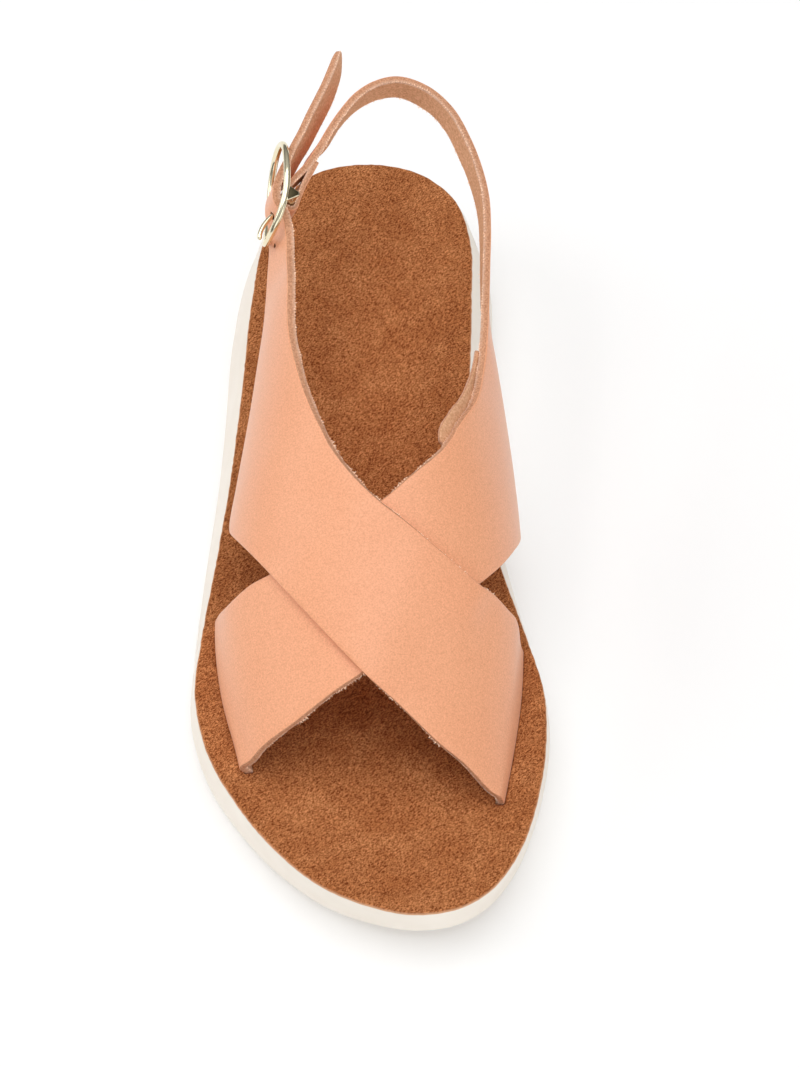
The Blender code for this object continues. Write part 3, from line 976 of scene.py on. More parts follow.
@dataclass
class Sole:
    """Cream rubber platform with flared walls and a ledge that the footbed's rim covers."""

    form: Form
    finish: bpy.types.Material
    points: int = 170  # along each side
    columns: int = 25  # across the seat and the underside
    levels: int = 26  # down each span of the wall
    spans: Table = ((0.0, 0.8), (0.82, 1.0))  # shares of the wall's height: its face, its rounded lower edge
    ledge: float = 0.8
    ledge_drop: float = 0.8
    seat: float = 1.6  # depth of the footbed's seat under its edge
    crisp: float = 40.0  # degrees from which an edge stays crisp

    def build(self, cutters: Sequence[Object]) -> Object:
        """Builds the sole and cuts the straps' slots.

        Args:
            cutters: the slots' tools.

        Returns:
            The piece.
        """
        form = self.form
        loop = form.loop(self.points)
        edge = form.edge_height(loop[:, 1])
        flare = at_station(FLARE, loop[:, 1])[:, 0]
        wall = np.array(WALL)
        drops = np.concatenate([np.linspace(*span, self.levels) for span in self.spans])
        rings = []
        for drop, (share, rounding) in zip(drops, hermite(wall[:, 0], wall[:, 1:], drops)):
            plan = spread(loop, flare * share - rounding)
            height = (edge - self.ledge_drop) * (1 - drop) + form.floor_height(plan[:, 1]) * drop
            rings.append(np.column_stack([plan, height]))
        inner = spread(loop, -self.ledge)
        rim = form.edge_height(inner[:, 1])
        ledge = [np.column_stack([inner, rim - drop]) for drop in (self.seat, self.ledge_drop)]
        surface = Surface()
        surface.add_grid(np.array(ledge + rings), ring=True)
        surface.add_grid(form.lattice(inner, self.columns, lambda s, w: form.bed_height(s, w) - self.seat))
        surface.add_grid(form.lattice(rings[-1][:, :2], self.columns, lambda s, _: form.floor_height(s)))
        piece = surface.build("cream_sole", [self.finish], WELD)
        cut(piece, cutters)
        piece.data.set_sharp_from_angle(angle=math.radians(self.crisp))
        return mount(piece, "sole", "platform_sole")


@dataclass
class Footbed:
    """Suede-covered insole: a dished face, slightly uneven, with a soft rim that laps the sole."""

    form: Form
    finish: bpy.types.Material
    points: int = 240  # along each side
    columns: int = 91  # across the face
    back_columns: int = 13
    rim: Table = (
        # inside the outline, drop, paleness of the cut edge
        (0.5, 0.0, 0.0),
        (0.22, 0.06, 0.25),
        (0.06, 0.22, 0.9),
        (0.0, 0.5, 1.0),
        (0.0, 0.72, 1.0),
    )
    thickness: float = 1.5
    tuck: float = 0.85  # how far the part below the rim is drawn in
    tuck_drop: float = 0.74
    ragged: float = 0.1
    ragged_wave: float = 1.3
    seed: int = 77
    unevenness: float = 0.12
    waves: Table = (
        # stations in a radian, radians across, shift
        (7.3, 3.0, 0.0),
        (11.7, -9.0, 1.3),
    )
    crease: Table = ((12.1, 209.6), (25.8, 225.7))  # its ends: across, from_toe
    crease_width: float = 1.0
    crease_depth: float = 0.3

    def height(self, from_toe: Array, share: Array) -> Array:
        """Height of the face, with the slight waves of a glued cover that fade out at its rim.

        Args:
            from_toe: stations.
            share: shares of the way from lateral to medial.

        Returns:
            Heights over the floor.
        """
        smooth = self.form.bed_height(from_toe, share)
        first, second = (np.sin(from_toe / run + turn * share + shift) for run, turn, shift in self.waves)
        wave = first * second
        return smooth + self.unevenness * wave * smooth_step(12 * share * (1 - share))

    def groove(self, plan: Array) -> Array:
        """Depth of the crease in the heel.

        Args:
            plan: points in plan.

        Returns:
            One depth for each point.
        """
        start, end = np.array(self.crease)
        ahead = unit(end - start)
        along = (plan - start) @ ahead / np.linalg.norm(end - start)
        aside = (plan - start) @ np.array([-ahead[1], ahead[0]])
        across = np.exp(-((aside / self.crease_width) ** 2))
        return self.crease_depth * across * smooth_step(4 * along * (1 - along))

    def build(self, cutters: Sequence[Object]) -> Object:
        """Builds the footbed and cuts the straps' slots.

        Args:
            cutters: the slots' tools.

        Returns:
            The piece.
        """
        form = self.form
        loop = form.loop(self.points)
        stray = self.ragged * wobble(run_of(loop), self.ragged_wave, self.seed)
        rim = [(inside + stray, drop) for inside, drop, _ in self.rim]
        rings = []
        for inside, drop in rim + [(self.tuck, self.tuck_drop), (self.tuck, self.thickness)]:
            plan = spread(loop, -inside)
            rings.append(np.column_stack([plan, form.edge_height(plan[:, 1]) - drop]))
        pale = np.array([row[2] for row in self.rim] + [1.0, 1.0])
        face = form.lattice(rings[0][:, :2], self.columns, self.height)
        face[1:-1, 1:-1, 2] -= self.groove(face[1:-1, 1:-1, :2])
        back = form.lattice(
            rings[-1][:, :2], self.back_columns, lambda s, w: form.bed_height(s, w) - self.thickness
        )
        surface = Surface()
        surface.add_grid(np.array(rings), fray=np.repeat(pale, len(loop)), ring=True)
        surface.add_grid(face)
        surface.add_grid(back)
        piece = surface.build("suede_cover", [self.finish], WELD)
        cut(piece, cutters)
        return mount(piece, "footbed", "suede_footbed")


class Plate(IntEnum):
    """Material numbers of the buckle."""

    POLISHED = 0
    # the lugs' faces: dark gold, painted shade for the dark that they reflect
    PAINTED_SHADE = 1


@dataclass(frozen=True)
class Buckle:
    """Oval ring on the lateral side, with two lugs that hold a straight bar inside it, and a prong."""

    centre: tuple[float, float, float] = (-26.5, 202.5, 75.2)
    rise: float = 15.0
    turn: float = 1.0
    lean: float = 15.0
    length: float = 29.5
    width: float = 22.0
    wire: float = 1.0  # radius
    ring_points: int = 160
    kick: float = 2.8  # how far the ring's front stands out
    bar_radius: float = 0.9
    bar_along: float = -3.9
    bar_drop: float = 2.7
    bar_half: float = 10.8
    lug_middle: float = 10.4
    lug_thick: float = 1.4
    lug_foot: float = 2.7
    lug_tip: float = 0.9
    lug_reach: float = 3.8
    lug_arc: tuple[float, float, int] = (200.0, 340.0, 12)  # its rounded tip: degrees from and to, points
    lug_middle_share: float = 0.4  # of the reach, about which its faces shrink
    lug_faces: Table = ((-0.5, 0.82), (-0.3, 1.0), (0.3, 1.0), (0.5, 0.82))  # share of thickness, of size
    prong_radius: float = 0.7
    prong_points: int = 90
    prong_tip: float = 0.9
    prong_eye: float = 1.9
    prong_sweep: tuple[float, float, int] = (-130.0, 90.0, 12)  # its eye: degrees from and to, points
    shank: Table = (
        # along, out
        (-5.6, 0.4),
        (-8.0, 2.6),
        (-11.0, 4.4),
        (-13.0, 5.0),
        (-14.6, 5.0),
    )
    crisp: float = 50.0  # degrees from which an edge stays crisp

    def axes(self) -> tuple[Array, Array, Array]:
        """Unit directions of the buckle.

        Returns:
            Along the strap, across it upwards, and out from the foot.
        """
        rise, turn, lean = (math.radians(a) for a in (self.rise, self.turn, self.lean))
        along = np.array([math.sin(turn) * math.cos(rise), math.cos(turn) * math.cos(rise), math.sin(rise)])
        level = np.array([-math.cos(turn), math.sin(turn), 0.0])
        upright = np.cross(level, along)
        upright *= math.copysign(1.0, upright[2])
        out = level * math.cos(lean) + upright * math.sin(lean)
        across = upright * math.cos(lean) - level * math.sin(lean)
        return along, across, out

    def point(self, along: float, across: float, out: float) -> Array:
        """A point given in the buckle's own directions, in shoe millimetres."""
        axes = self.axes()
        return np.array(self.centre) + along * axes[0] + across * axes[1] + out * axes[2]

    def ring_path(self) -> Array:
        """The middle of the oval wire, curved outwards at its front.

        Returns:
            Points once round.
        """
        angles = 2 * math.pi * np.arange(self.ring_points) / self.ring_points
        kick = self.kick * np.minimum(np.cos(angles), 0.0) ** 2
        rows = zip(self.length / 2 * np.cos(angles), self.width / 2 * np.sin(angles), kick)
        return np.array([self.point(*row) for row in rows])

    def bar_path(self) -> Array:
        """The middle of the bar from one lug to the other."""
        ends = (-self.bar_half, self.bar_half)
        return np.array([self.point(self.bar_along, across, -self.bar_drop) for across in ends])

    def lug(self, across: float) -> Array:
        """A lug's plate, which narrows from the ring to a rounded tip at the bar.

        Args:
            across: where its middle stands.

        Returns:
            Rings of points round it, from one face to the other.
        """
        angles = np.radians(np.linspace(*self.lug_arc))
        tip = np.stack([np.cos(angles), np.sin(angles)], axis=1) * self.lug_tip
        tip[:, 1] -= self.lug_reach - self.lug_tip
        plan = np.concatenate([[[-self.lug_foot, 0.0]], tip, [[self.lug_foot, 0.0]]])
        middle = np.array([0.0, -self.lug_middle_share * self.lug_reach])
        rings = []
        for depth, size in self.lug_faces:
            rows = middle + (plan - middle) * size
            side = across + depth * self.lug_thick
            rings.append([self.point(self.bar_along + along, side, out) for along, out in rows])
        return np.array(rings)

    def prong_path(self, count: int) -> Array:
        """The prong's eye round the bar, and its shank out to the front of the ring.

        Args:
            count: how many points are wanted.

        Returns:
            Points of its middle line.
        """
        path = []
        for degrees in np.linspace(*self.prong_sweep):
            angle = math.radians(degrees)
            along = self.bar_along + self.prong_eye * math.cos(angle)
            path.append(self.point(along, 0.0, self.prong_eye * math.sin(angle) - self.bar_drop))
        path += [self.point(along, 0.0, out) for along, out in self.shank]
        return evenly(path, count)

    def build(self, polished: bpy.types.Material, shaded_plate: bpy.types.Material) -> list[Object]:
        """Builds the frame, with its lugs' faces in a dark gold of painted shade, and the prong.

        Args:
            polished: the plating.
            shaded_plate: dark gold on the lugs' faces, painted shade for the dark that they reflect.

        Returns:
            The two pieces.
        """
        frame = Surface()
        add_rod(frame, self.ring_path(), self.wire, closed=True)
        add_rod(frame, self.bar_path(), self.bar_radius)
        for across in (-self.lug_middle, self.lug_middle):
            plate = self.lug(across)
            start = frame.add_grid(plate, ring=True)
            wide = plate.shape[1]
            for ring in (0, len(plate) - 1):
                corners = range(start + ring * wide, start + (ring + 1) * wide)
                # the lugs' faces get the dark gold of painted shade
                frame.add_cap(corners, Plate.PAINTED_SHADE)
        prong = Surface()
        add_rod(prong, self.prong_path(self.prong_points), self.prong_radius, tip=self.prong_tip)
        pieces = []
        for name, surface, node in (
            ("gold_buckle", frame, "buckle_frame"),
            ("gold_prong", prong, "buckle_prong"),
        ):
            piece = surface.build(name, [polished, shaded_plate])
            piece.data.set_sharp_from_angle(angle=math.radians(self.crisp))
            pieces.append(mount(piece, "buckle", node))
        return pieces


def add_rod(surface: Surface, path: Array, radius: float, closed: bool = False, tip: float = 0.0) -> None:
    """Adds a round rod along a path.

    Args:
        surface: the mesh to add it to.
        path: points of its middle line.
        radius: of the rod.
        closed: joins the rod's end to its start.
        tip: length over which each end rounds off.
    """
    ahead = np.roll(path, -1, axis=0) - np.roll(path, 1, axis=0) if closed else np.gradient(path, axis=0)
    ahead = unit(ahead)
    aslant = [0.31, 0.27, 0.91]  # any direction that no rod runs along
    side = unit(np.cross(ahead[0], aslant))
    sides = []
    for direction in ahead:
        side = unit(side - direction * np.dot(side, direction))
        sides.append(side)
    across = np.array(sides)
    other = np.cross(ahead, across)
    run = run_of(path)
    near = np.minimum(run, run[-1] - run)
    blunt = 0.02  # keeps a rounded end from closing to a point
    scale = np.sqrt(np.clip(1 - (1 - near / tip).clip(0.0) ** 2, blunt, 1.0)) if tip else np.ones(len(path))
    angles = 2 * math.pi * np.arange(ROD_SIDES) / ROD_SIDES
    spoke = np.cos(angles)[None, :, None] * across[:, None] + np.sin(angles)[None, :, None] * other[:, None]
    grid = path[:, None] + radius * scale[:, None, None] * spoke
    if closed:
        # The frame that is carried round comes back turned; the nearest spoke is met by a roll.
        shift = int(np.argmin(np.linalg.norm(grid[-1] - grid[0, 0], axis=1)))
        grid = np.concatenate([grid, np.roll(grid[:1], shift, axis=1)])
        surface.add_grid(grid, ring=True)
        return
    start = surface.add_grid(grid, ring=True)
    for end in (0, len(path) - 1):
        surface.add_cap(range(start + end * ROD_SIDES, start + (end + 1) * ROD_SIDES))


class Side(IntEnum):
    """Material numbers of a strap."""

    GRAIN = 0
    CUT = 1
    FLESH = 2
    HOLE = 3


@dataclass
class Strap:
    """A cut strip of leather: smooth grain outside, raw cut edges, flesh side inside."""

    name: str
    rows: list[Row]
    finishes: Sequence[bpy.types.Material]
    seed: int
    leather: float = LEATHER
    step: float = 0.9  # between its rows of points
    grain_corner: float = 0.4  # radius
    flesh_corner: float = 0.3
    corner_turns: tuple[float, ...] = (35.0, 65.0, 90.0)  # degrees round a corner at which it has points
    corner_rough: float = 0.3  # share of the unevenness that the grain corner has
    cut_levels: tuple[float, ...] = (0.25, 0.5, 0.75, 1.0)  # shares of the cut face's depth
    bulge: float = 0.06  # of the cut face
    rough: float = 0.1  # unevenness of the cut face
    rough_waves: Table = ((2.6, 0.6), (1.1, 0.4))  # its waves: length, share
    fray: float = 0.22  # how much more uneven a frayed corner is
    fray_climb: tuple[float, float] = (1.2, -0.6)  # fray down the cut face: slope and start
    bloom: float = 0.85  # how pale the frayed corner is
    slants: tuple[float, float] = (0.0, 0.0)  # how far the cut stands out at the flesh side, at either edge
    round_tip: float = 0.0  # length over which the end rounds off
    tip_rows: int = 9
    edges: list[tuple[Array, Array, Array]] = field(default_factory=list)  # points, directions out and along

    def grid(self) -> tuple[Array, Array]:
        """The smooth outer face through the rows.

        Returns:
            The face, rows by columns by 3, and the thickness of each of its rows.
        """
        columns = len(self.rows[0][0])
        table = np.array([np.append(row, share) for row, share in self.rows])
        lengths = run_of(np.array([row.mean(axis=0) for row, _ in self.rows]))
        marks = np.linspace(0.0, lengths[-1], round(lengths[-1] / self.step) + 1)
        if self.round_tip:
            tip = self.round_tip * (1 - np.cos(np.linspace(0.0, math.pi / 2, self.tip_rows)))
            marks = np.concatenate([marks[marks < lengths[-1] - self.round_tip], lengths[-1] - tip[::-1]])
        curve = hermite(lengths, table, marks)
        face = curve[:, :-1].reshape(-1, columns, 3)
        if self.round_tip:
            left = (lengths[-1] - marks) / self.round_tip
            blunt = 0.01  # keeps the tip from closing to a point
            width = np.sqrt(np.clip(1 - (1 - left).clip(0.0) ** 2, blunt, 1.0))
            middle = face.mean(axis=1, keepdims=True)
            face = middle + (face - middle) * width[:, None, None]
        return face, curve[:, -1] * self.leather

    def normals(self, face: Array) -> Array:
        """Outward directions of the face."""
        return unit(np.cross(np.gradient(face, axis=0), np.gradient(face, axis=1)))

    def inset(self, face: Array, margin: float) -> Array:
        """The face's columns drawn in from both edges.

        Args:
            face: rows by columns by 3.
            margin: how far.

        Returns:
            The face with its columns moved along its rows.
        """
        columns = face.shape[1]
        width = np.linalg.norm(np.diff(face, axis=1), axis=2).sum(axis=1)
        most = 0.45  # of the width, where the strap is narrow
        share = np.minimum(margin / np.maximum(width, 1e-6), most)
        at = (share[:, None] + np.linspace(0, 1, columns)[None] * (1 - 2 * share[:, None])) * (columns - 1)
        i = np.clip(at.astype(int), 0, columns - 2)
        f = (at - i)[..., None]
        rows = np.arange(len(face))[:, None]
        return face[rows, i] * (1 - f) + face[rows, i + 1] * f

    def profile(self, face: Array, normal: Array, thick: Array, column: int) -> tuple[Array, Array]:
        """Points of one cut edge from the grain corner to the flesh corner.

        Args:
            face: outer face.
            normal: its outward normals.
            thick: thickness of each row.
            column: the edge's column, 0 or -1, which also picks its noise and slant.

        Returns:
            The points, rows by depth, and how frayed each is.
        """
        inner = 1 if column == 0 else -2
        seed = self.seed - 100 * column
        corner, up = face[:, column], normal[:, column]
        away = unit(corner - face[:, inner])
        away = unit(away - up * (away * up).sum(axis=1, keepdims=True))
        run = run_of(corner)
        big, small = self.grain_corner, self.flesh_corner
        whole = np.ones(len(run))
        steps: list[tuple[float, Array, float, float]] = []  # out, depth, roughness, fray
        for angle in np.radians(self.corner_turns):
            turn = big * (1 - math.cos(angle))
            rough = self.corner_rough * math.sin(angle)
            steps.append((big * (math.sin(angle) - 1), turn * whole, rough, 0.0))
        slope, start = self.fray_climb
        for share in self.cut_levels:
            depth = big + (thick - big - small) * share
            fray = max(0.0, slope * share + start)
            steps.append((self.bulge * math.sin(math.pi * share), depth, 1.0, fray))
        for angle in np.radians(self.corner_turns[:-1]):
            depth = thick - small * (1 - math.sin(angle))
            steps.append((small * (math.cos(angle) - 1), depth, 1.0, self.bloom))
        points, frays = [], []
        for k, (out, depth, rough, fray) in enumerate(steps):
            noise = np.zeros(len(run))
            for number, (wave, part) in enumerate(self.rough_waves):
                noise += part * wobble(run, wave, seed + 40 * number + k)
            stray = rough * (self.rough + self.fray * fray) * noise
            slant = self.slants[column] * (depth / thick) ** 2
            points.append(corner + away * (out + stray + slant)[:, None] - up * depth[:, None])
            frays.append(np.full(len(run), fray))
        self.edges.append((points[-2], away, np.gradient(corner, axis=0)))
        return np.stack(points, axis=1), np.stack(frays, axis=1)

    def build(self) -> Object:
        """Builds the strap as one closed mesh.

        Returns:
            The piece, in the scene.
        """
        face, thick = self.grid()
        normal = self.normals(face)
        outer = self.inset(face, self.grain_corner)
        inner = self.inset(face, self.flesh_corner) - normal * thick[:, None, None]
        last, last_fray = self.profile(face, normal, thick, -1)
        first, first_fray = self.profile(face, normal, thick, 0)
        ring = np.concatenate([outer, last, inner[:, ::-1], first[:, ::-1]], axis=1)
        columns, depth = face.shape[1], last.shape[1]
        clean = np.zeros((len(face), columns))
        flesh = clean.copy()
        flesh[:, 0] = self.bloom
        flesh[:, -1] = self.bloom
        fray = np.concatenate([clean, last_fray, flesh, first_fray[:, ::-1]], axis=1)
        kinds = [Side.GRAIN] * (columns + 1) + [Side.CUT] * (depth - 1)
        kinds += [Side.FLESH] * columns + [Side.CUT] * (depth - 1) + [Side.GRAIN]
        surface = Surface()
        start = surface.add_grid(ring, kinds, fray, ring=True)
        wide = ring.shape[1]
        for row in (0, len(ring) - 1):
            surface.add_cap(range(start + row * wide, start + (row + 1) * wide), Side.CUT)
        return surface.build(self.name, self.finishes)


@dataclass
class Upper:
    """The crossed straps, the heel sling and the strip sewn inside the medial quarter."""

    form: Form
    buckle: Buckle
    leather: float = LEATHER
    columns: int = 33
    ride_fade: float = 12.0  # distance over which a strap comes down beside the one under it
    skived: float = 0.6  # share of the thickness that is left where the sling folds
    threaded: float = 1.0  # and where the over strap runs through the ring
    gap: float = 0.3
    fold_half: float = 4.5  # half the width of the sling's end
    fold_steps: int = 7
    tail_tip: float = 5.0
    hole: tuple[float, float, float] = (-15.0, -1.9, 0.65)  # along and across the buckle, radius
    hole_depth: float = 2.0  # the punch's middle, inside the buckle's plane
    punch_reach: float = 6.0  # to either side of it
    slit_points: int = 60
    slit_room: float = 0.35
    slot_rows: int = 4  # rows of a strap that stand in its slot
    slot_room: float = 0.12
    slot_drop: float = 0.3
    over_slants: tuple[float, float] = (0.6, -0.5)  # rear edge, front edge
    under_slants: tuple[float, float] = (0.0, 0.3)  # front edge, rear edge
    strip: Table = (
        # from_toe of the quarter's upper edge, how far the strip stands proud of it
        (118.5, 1.2),
        (121.0, 3.3),
        (130.0, 3.4),
        (140.0, 2.8),
        (149.0, 1.0),
        (155.0, 0.2),
    )
    strip_width: float = 9.0
    strip_share: float = 0.55  # of the leather's thickness
    strip_gap: float = 0.15
    seeds: tuple[int, int, int] = (11, 511, 911)  # of the over strap, the under strap and the strip
    frayed: list[Strap] = field(default_factory=list)  # the straps whose edges get fibres

    @property
    def fold_radius(self) -> float:
        """Outer face of the sling where it turns round the bar."""
        return self.buckle.bar_radius + self.gap + self.leather * self.skived

    def over_thread(self) -> Table:
        """The over strap through the buckle.

        Returns:
            Rows of along, out, half width, lean in degrees, share of thickness.
        """
        t = self.threaded
        over_bar = self.fold_radius - self.buckle.bar_drop + 2 * self.gap + self.leather * t
        return (
            (-22.0, -0.2, 7.0, -10.5, 1.0),
            (-14.5, -0.1, 6.5, -9.2, t),
            (-9.0, 0.6, 5.65, -8.6, t),
            (self.buckle.bar_along, over_bar, 5.4, 0.0, t),
            (0.0, 2.5, 5.3, 2.0, t),
            (4.5, 0.7, 5.3, 9.5, t),
            (9.0, -1.7, 5.3, 16.5, t),
            (13.5, -3.6, 5.3, 19.0, t),
            (18.0, -5.8, 5.3, 21.0, 1.0),
            (24.0, -8.3, 5.2, 23.0, 1.0),
            (35.0, -12.8, 5.0, 23.0, 1.0),
            (42.5, -15.0, 4.6, 19.5, 0.95),
            (46.8, -16.3, 4.3, 18.0, 0.55),
        )

    def under_thread(self) -> Table:
        """The sling's end in under the over strap to the bar.

        Returns:
            Rows with over_thread's columns.
        """
        return (
            (14.4, -9.4, self.fold_half, -5.0, 1.0),
            (9.3, -6.8, self.fold_half, -2.0, 0.95),
            (4.0, -2.9, self.fold_half, 0.0, 0.8),
            (-0.5, -0.5, self.fold_half, 0.0, self.skived),
        )

    def fold_back(self) -> Table:
        """The sling's end from the bar back along its inner side, with over_thread's columns."""
        path = ((1.4, -7.0, 0.75), (5.5, -8.9, 0.85), (9.3, -10.6, 0.85))
        return tuple((along, out, self.fold_half, 0.0, share) for along, out, share in path)

    def ride(self, from_toe: Array, around: Array) -> Array:
        """How far the over strap rides up on the under strap.

        Args:
            from_toe: stations.
            around: degrees round the last.

        Returns:
            1 on the under strap, fading to 0 beside it.
        """
        rows = np.array(UNDER_STRAP)
        rising = rows[: rows[:, 1].argmax() + 1]
        behind_front = from_toe - np.interp(around, rising[:, 1], rising[:, 0])
        before_rear = np.interp(around, rows[:, 3], rows[:, 2]) - from_toe
        return smooth_step(1 + np.minimum(behind_front, before_rear) / self.ride_fade)

    def on_foot(self, table: Table, rides: bool) -> list[Row]:
        """Rows of a strap from inside its slot up over the last.

        Args:
            table: the strap's edges.
            rides: whether it lies on the other strap.

        Returns:
            Its rows.
        """
        rows: list[Row] = []
        for front_from_toe, front_around, rear_from_toe, rear_around in table:
            stations = np.linspace(front_from_toe, rear_from_toe, self.columns)
            angles = np.linspace(front_around, rear_around, self.columns)
            ride = self.ride(stations, angles) if rides else 0.0
            rows.append((self.form.on_last(stations, angles, self.leather * (1 + ride)), 1.0))
        inwards = -math.copysign(1.0, table[0][1])
        foot = rows[0][0]
        profile = LATERAL_ROLL if inwards > 0 else MEDIAL_ROLL
        roll = [(foot + np.array([inwards * across, 0.0, height]), 1.0) for across, height in profile]
        return roll + rows[1:]

    def straight(self, start: Array, end: Array, share: float) -> Row:
        """A row straight across a strap."""
        return np.linspace(start, end, self.columns), share

    def threaded_rows(self, table: Table) -> list[Row]:
        """Rows of a strap that runs through the buckle.

        Args:
            table: its rows, with over_thread's columns.

        Returns:
            Its rows.
        """
        rows = []
        for along, out, half, lean, share in table:
            up, side = half * math.cos(math.radians(lean)), half * math.sin(math.radians(lean))
            lower = self.buckle.point(along, -up, out - side)
            rows.append(self.straight(lower, self.buckle.point(along, up, out + side), share))
        return rows

    def sling_rows(self) -> list[Row]:
        """Rows of the heel sling.

        Returns:
            Rows from the medial quarter round to the buckle.
        """
        ahead = unit(np.gradient(np.array(SLING)[:, :2], axis=0))
        rows = []
        for (across, from_toe, rise, width, lean), (forward_x, forward_y) in zip(SLING, ahead):
            top = np.array([across, from_toe, float(self.form.edge_height(from_toe)) + rise])
            lower = top + np.array([forward_y * lean, -forward_x * lean, -width])
            rows.append(self.straight(lower, top, 1.0))
        return rows

    def fold_rows(self) -> list[Row]:
        """Rows of the sling's end where it turns round the bar.

        Returns:
            Rows from the bar's outer side to its inner one.
        """
        table = []
        for angle in np.linspace(0.0, math.pi, self.fold_steps):
            along = self.buckle.bar_along - self.fold_radius * math.sin(angle)
            out = self.fold_radius * math.cos(angle) - self.buckle.bar_drop
            table.append((along, out, self.fold_half, 0.0, self.skived))
        return self.threaded_rows(table)

    def strip_rows(self, under: Strap) -> list[Row]:
        """Rows of the strip inside the medial quarter, proud of its upper edge.

        Args:
            under: the strap that it is sewn to.

        Returns:
            Its rows.
        """
        face, _ = under.grid()
        normal = under.normals(face)
        table = np.array(self.strip)
        rows = []
        for row, outward in zip(face, normal):
            top, station = row[-1], row[-1, 1]
            if top[0] < 0 or station < table[0, 0] or station > table[-1, 0]:
                continue
            up = unit(top - row[-3])
            proud = np.interp(station, table[:, 0], table[:, 1])
            edge = top + up * proud - outward[-1] * (self.leather + self.strip_gap)
            rows.append(self.straight(edge - up * self.strip_width, edge, self.strip_share))
        return rows

    def over_rows(self) -> list[Row]:
        """Rows of the over strap, edges swapped so that its grain faces outwards."""
        rows = self.on_foot(OVER_STRAP, True) + self.threaded_rows(self.over_thread())
        return [(row[::-1], share) for row, share in rows]

    def under_rows(self) -> list[Row]:
        """Rows of the under strap, the sling and its end round the bar.

        Returns:
            Rows from inside the slot to the end that is folded back.
        """
        rows = self.on_foot(UNDER_STRAP, False) + self.sling_rows()
        rows += self.threaded_rows(self.under_thread()) + self.fold_rows()
        return rows + self.threaded_rows(self.fold_back())

    def slot_cutters(self) -> list[Object]:
        """Tools that cut the straps' slots in the footbed and the sole.

        Returns:
            The tools, in the scene.
        """
        tools = []
        flipped = [(row[::-1], share) for row, share in self.on_foot(OVER_STRAP, False)]
        for name, rows in (("medial_slot", flipped), ("lateral_slot", self.on_foot(UNDER_STRAP, False))):
            room = []
            for row, share in rows[: self.slot_rows]:
                ends = np.linspace(-self.gap, self.gap, self.columns)[:, None]
                room.append((row + ends * unit(row[-1] - row[0]), share))
            room[0] = (room[0][0] - np.array([0.0, 0.0, self.slot_drop]), 1.0)
            tool = Strap(name, room, [], 0, rough=0.0, fray=0.0).build()
            swell = tool.modifiers.new("room", "DISPLACE")
            swell.strength = self.slot_room * MM
            swell.mid_level = 0.0
            tool.hide_render = True
            tools.append(tool)
        return tools

    def punch(self, strap: Object) -> None:
        """Punches the over strap's hole and the slit that the prong stands in.

        Args:
            strap: the over strap.
        """
        along, across, radius = self.hole
        reach = self.buckle.axes()[2] * self.punch_reach
        spot = self.buckle.point(along, across, -self.hole_depth)
        hole, slit = Surface(), Surface()
        add_rod(hole, np.array([spot - reach, spot, spot + reach]), radius)
        add_rod(slit, self.buckle.prong_path(self.slit_points), self.buckle.prong_radius + self.slit_room)
        for tool in (hole, slit):
            tool.kinds = [Side.HOLE] * len(tool.faces)
        tools = [hole.build("hole", []), slit.build("slit", [])]
        cut(strap, tools)
        for tool in tools:
            bpy.data.objects.remove(tool)

    def build(self, finishes: Sequence[bpy.types.Material]) -> list[Object]:
        """Builds the straps and the strip.

        Args:
            finishes: materials by Side's numbers.

        Returns:
            The pieces.
        """
        over_seed, under_seed, strip_seed = self.seeds
        over = Strap(
            "over_strap",
            self.over_rows(),
            finishes,
            over_seed,
            slants=self.over_slants,
            round_tip=self.tail_tip,
        )
        under = Strap("under_strap", self.under_rows(), finishes, under_seed, slants=self.under_slants)
        raw = (finishes[Side.FLESH], finishes[Side.CUT], finishes[Side.FLESH])
        strip = Strap("quarter_strip", self.strip_rows(under), raw, strip_seed)
        top = over.build()
        self.punch(top)
        self.frayed += [over, under]
        return [mount(piece, "straps", "upper_straps") for piece in (top, under.build(), strip.build())]


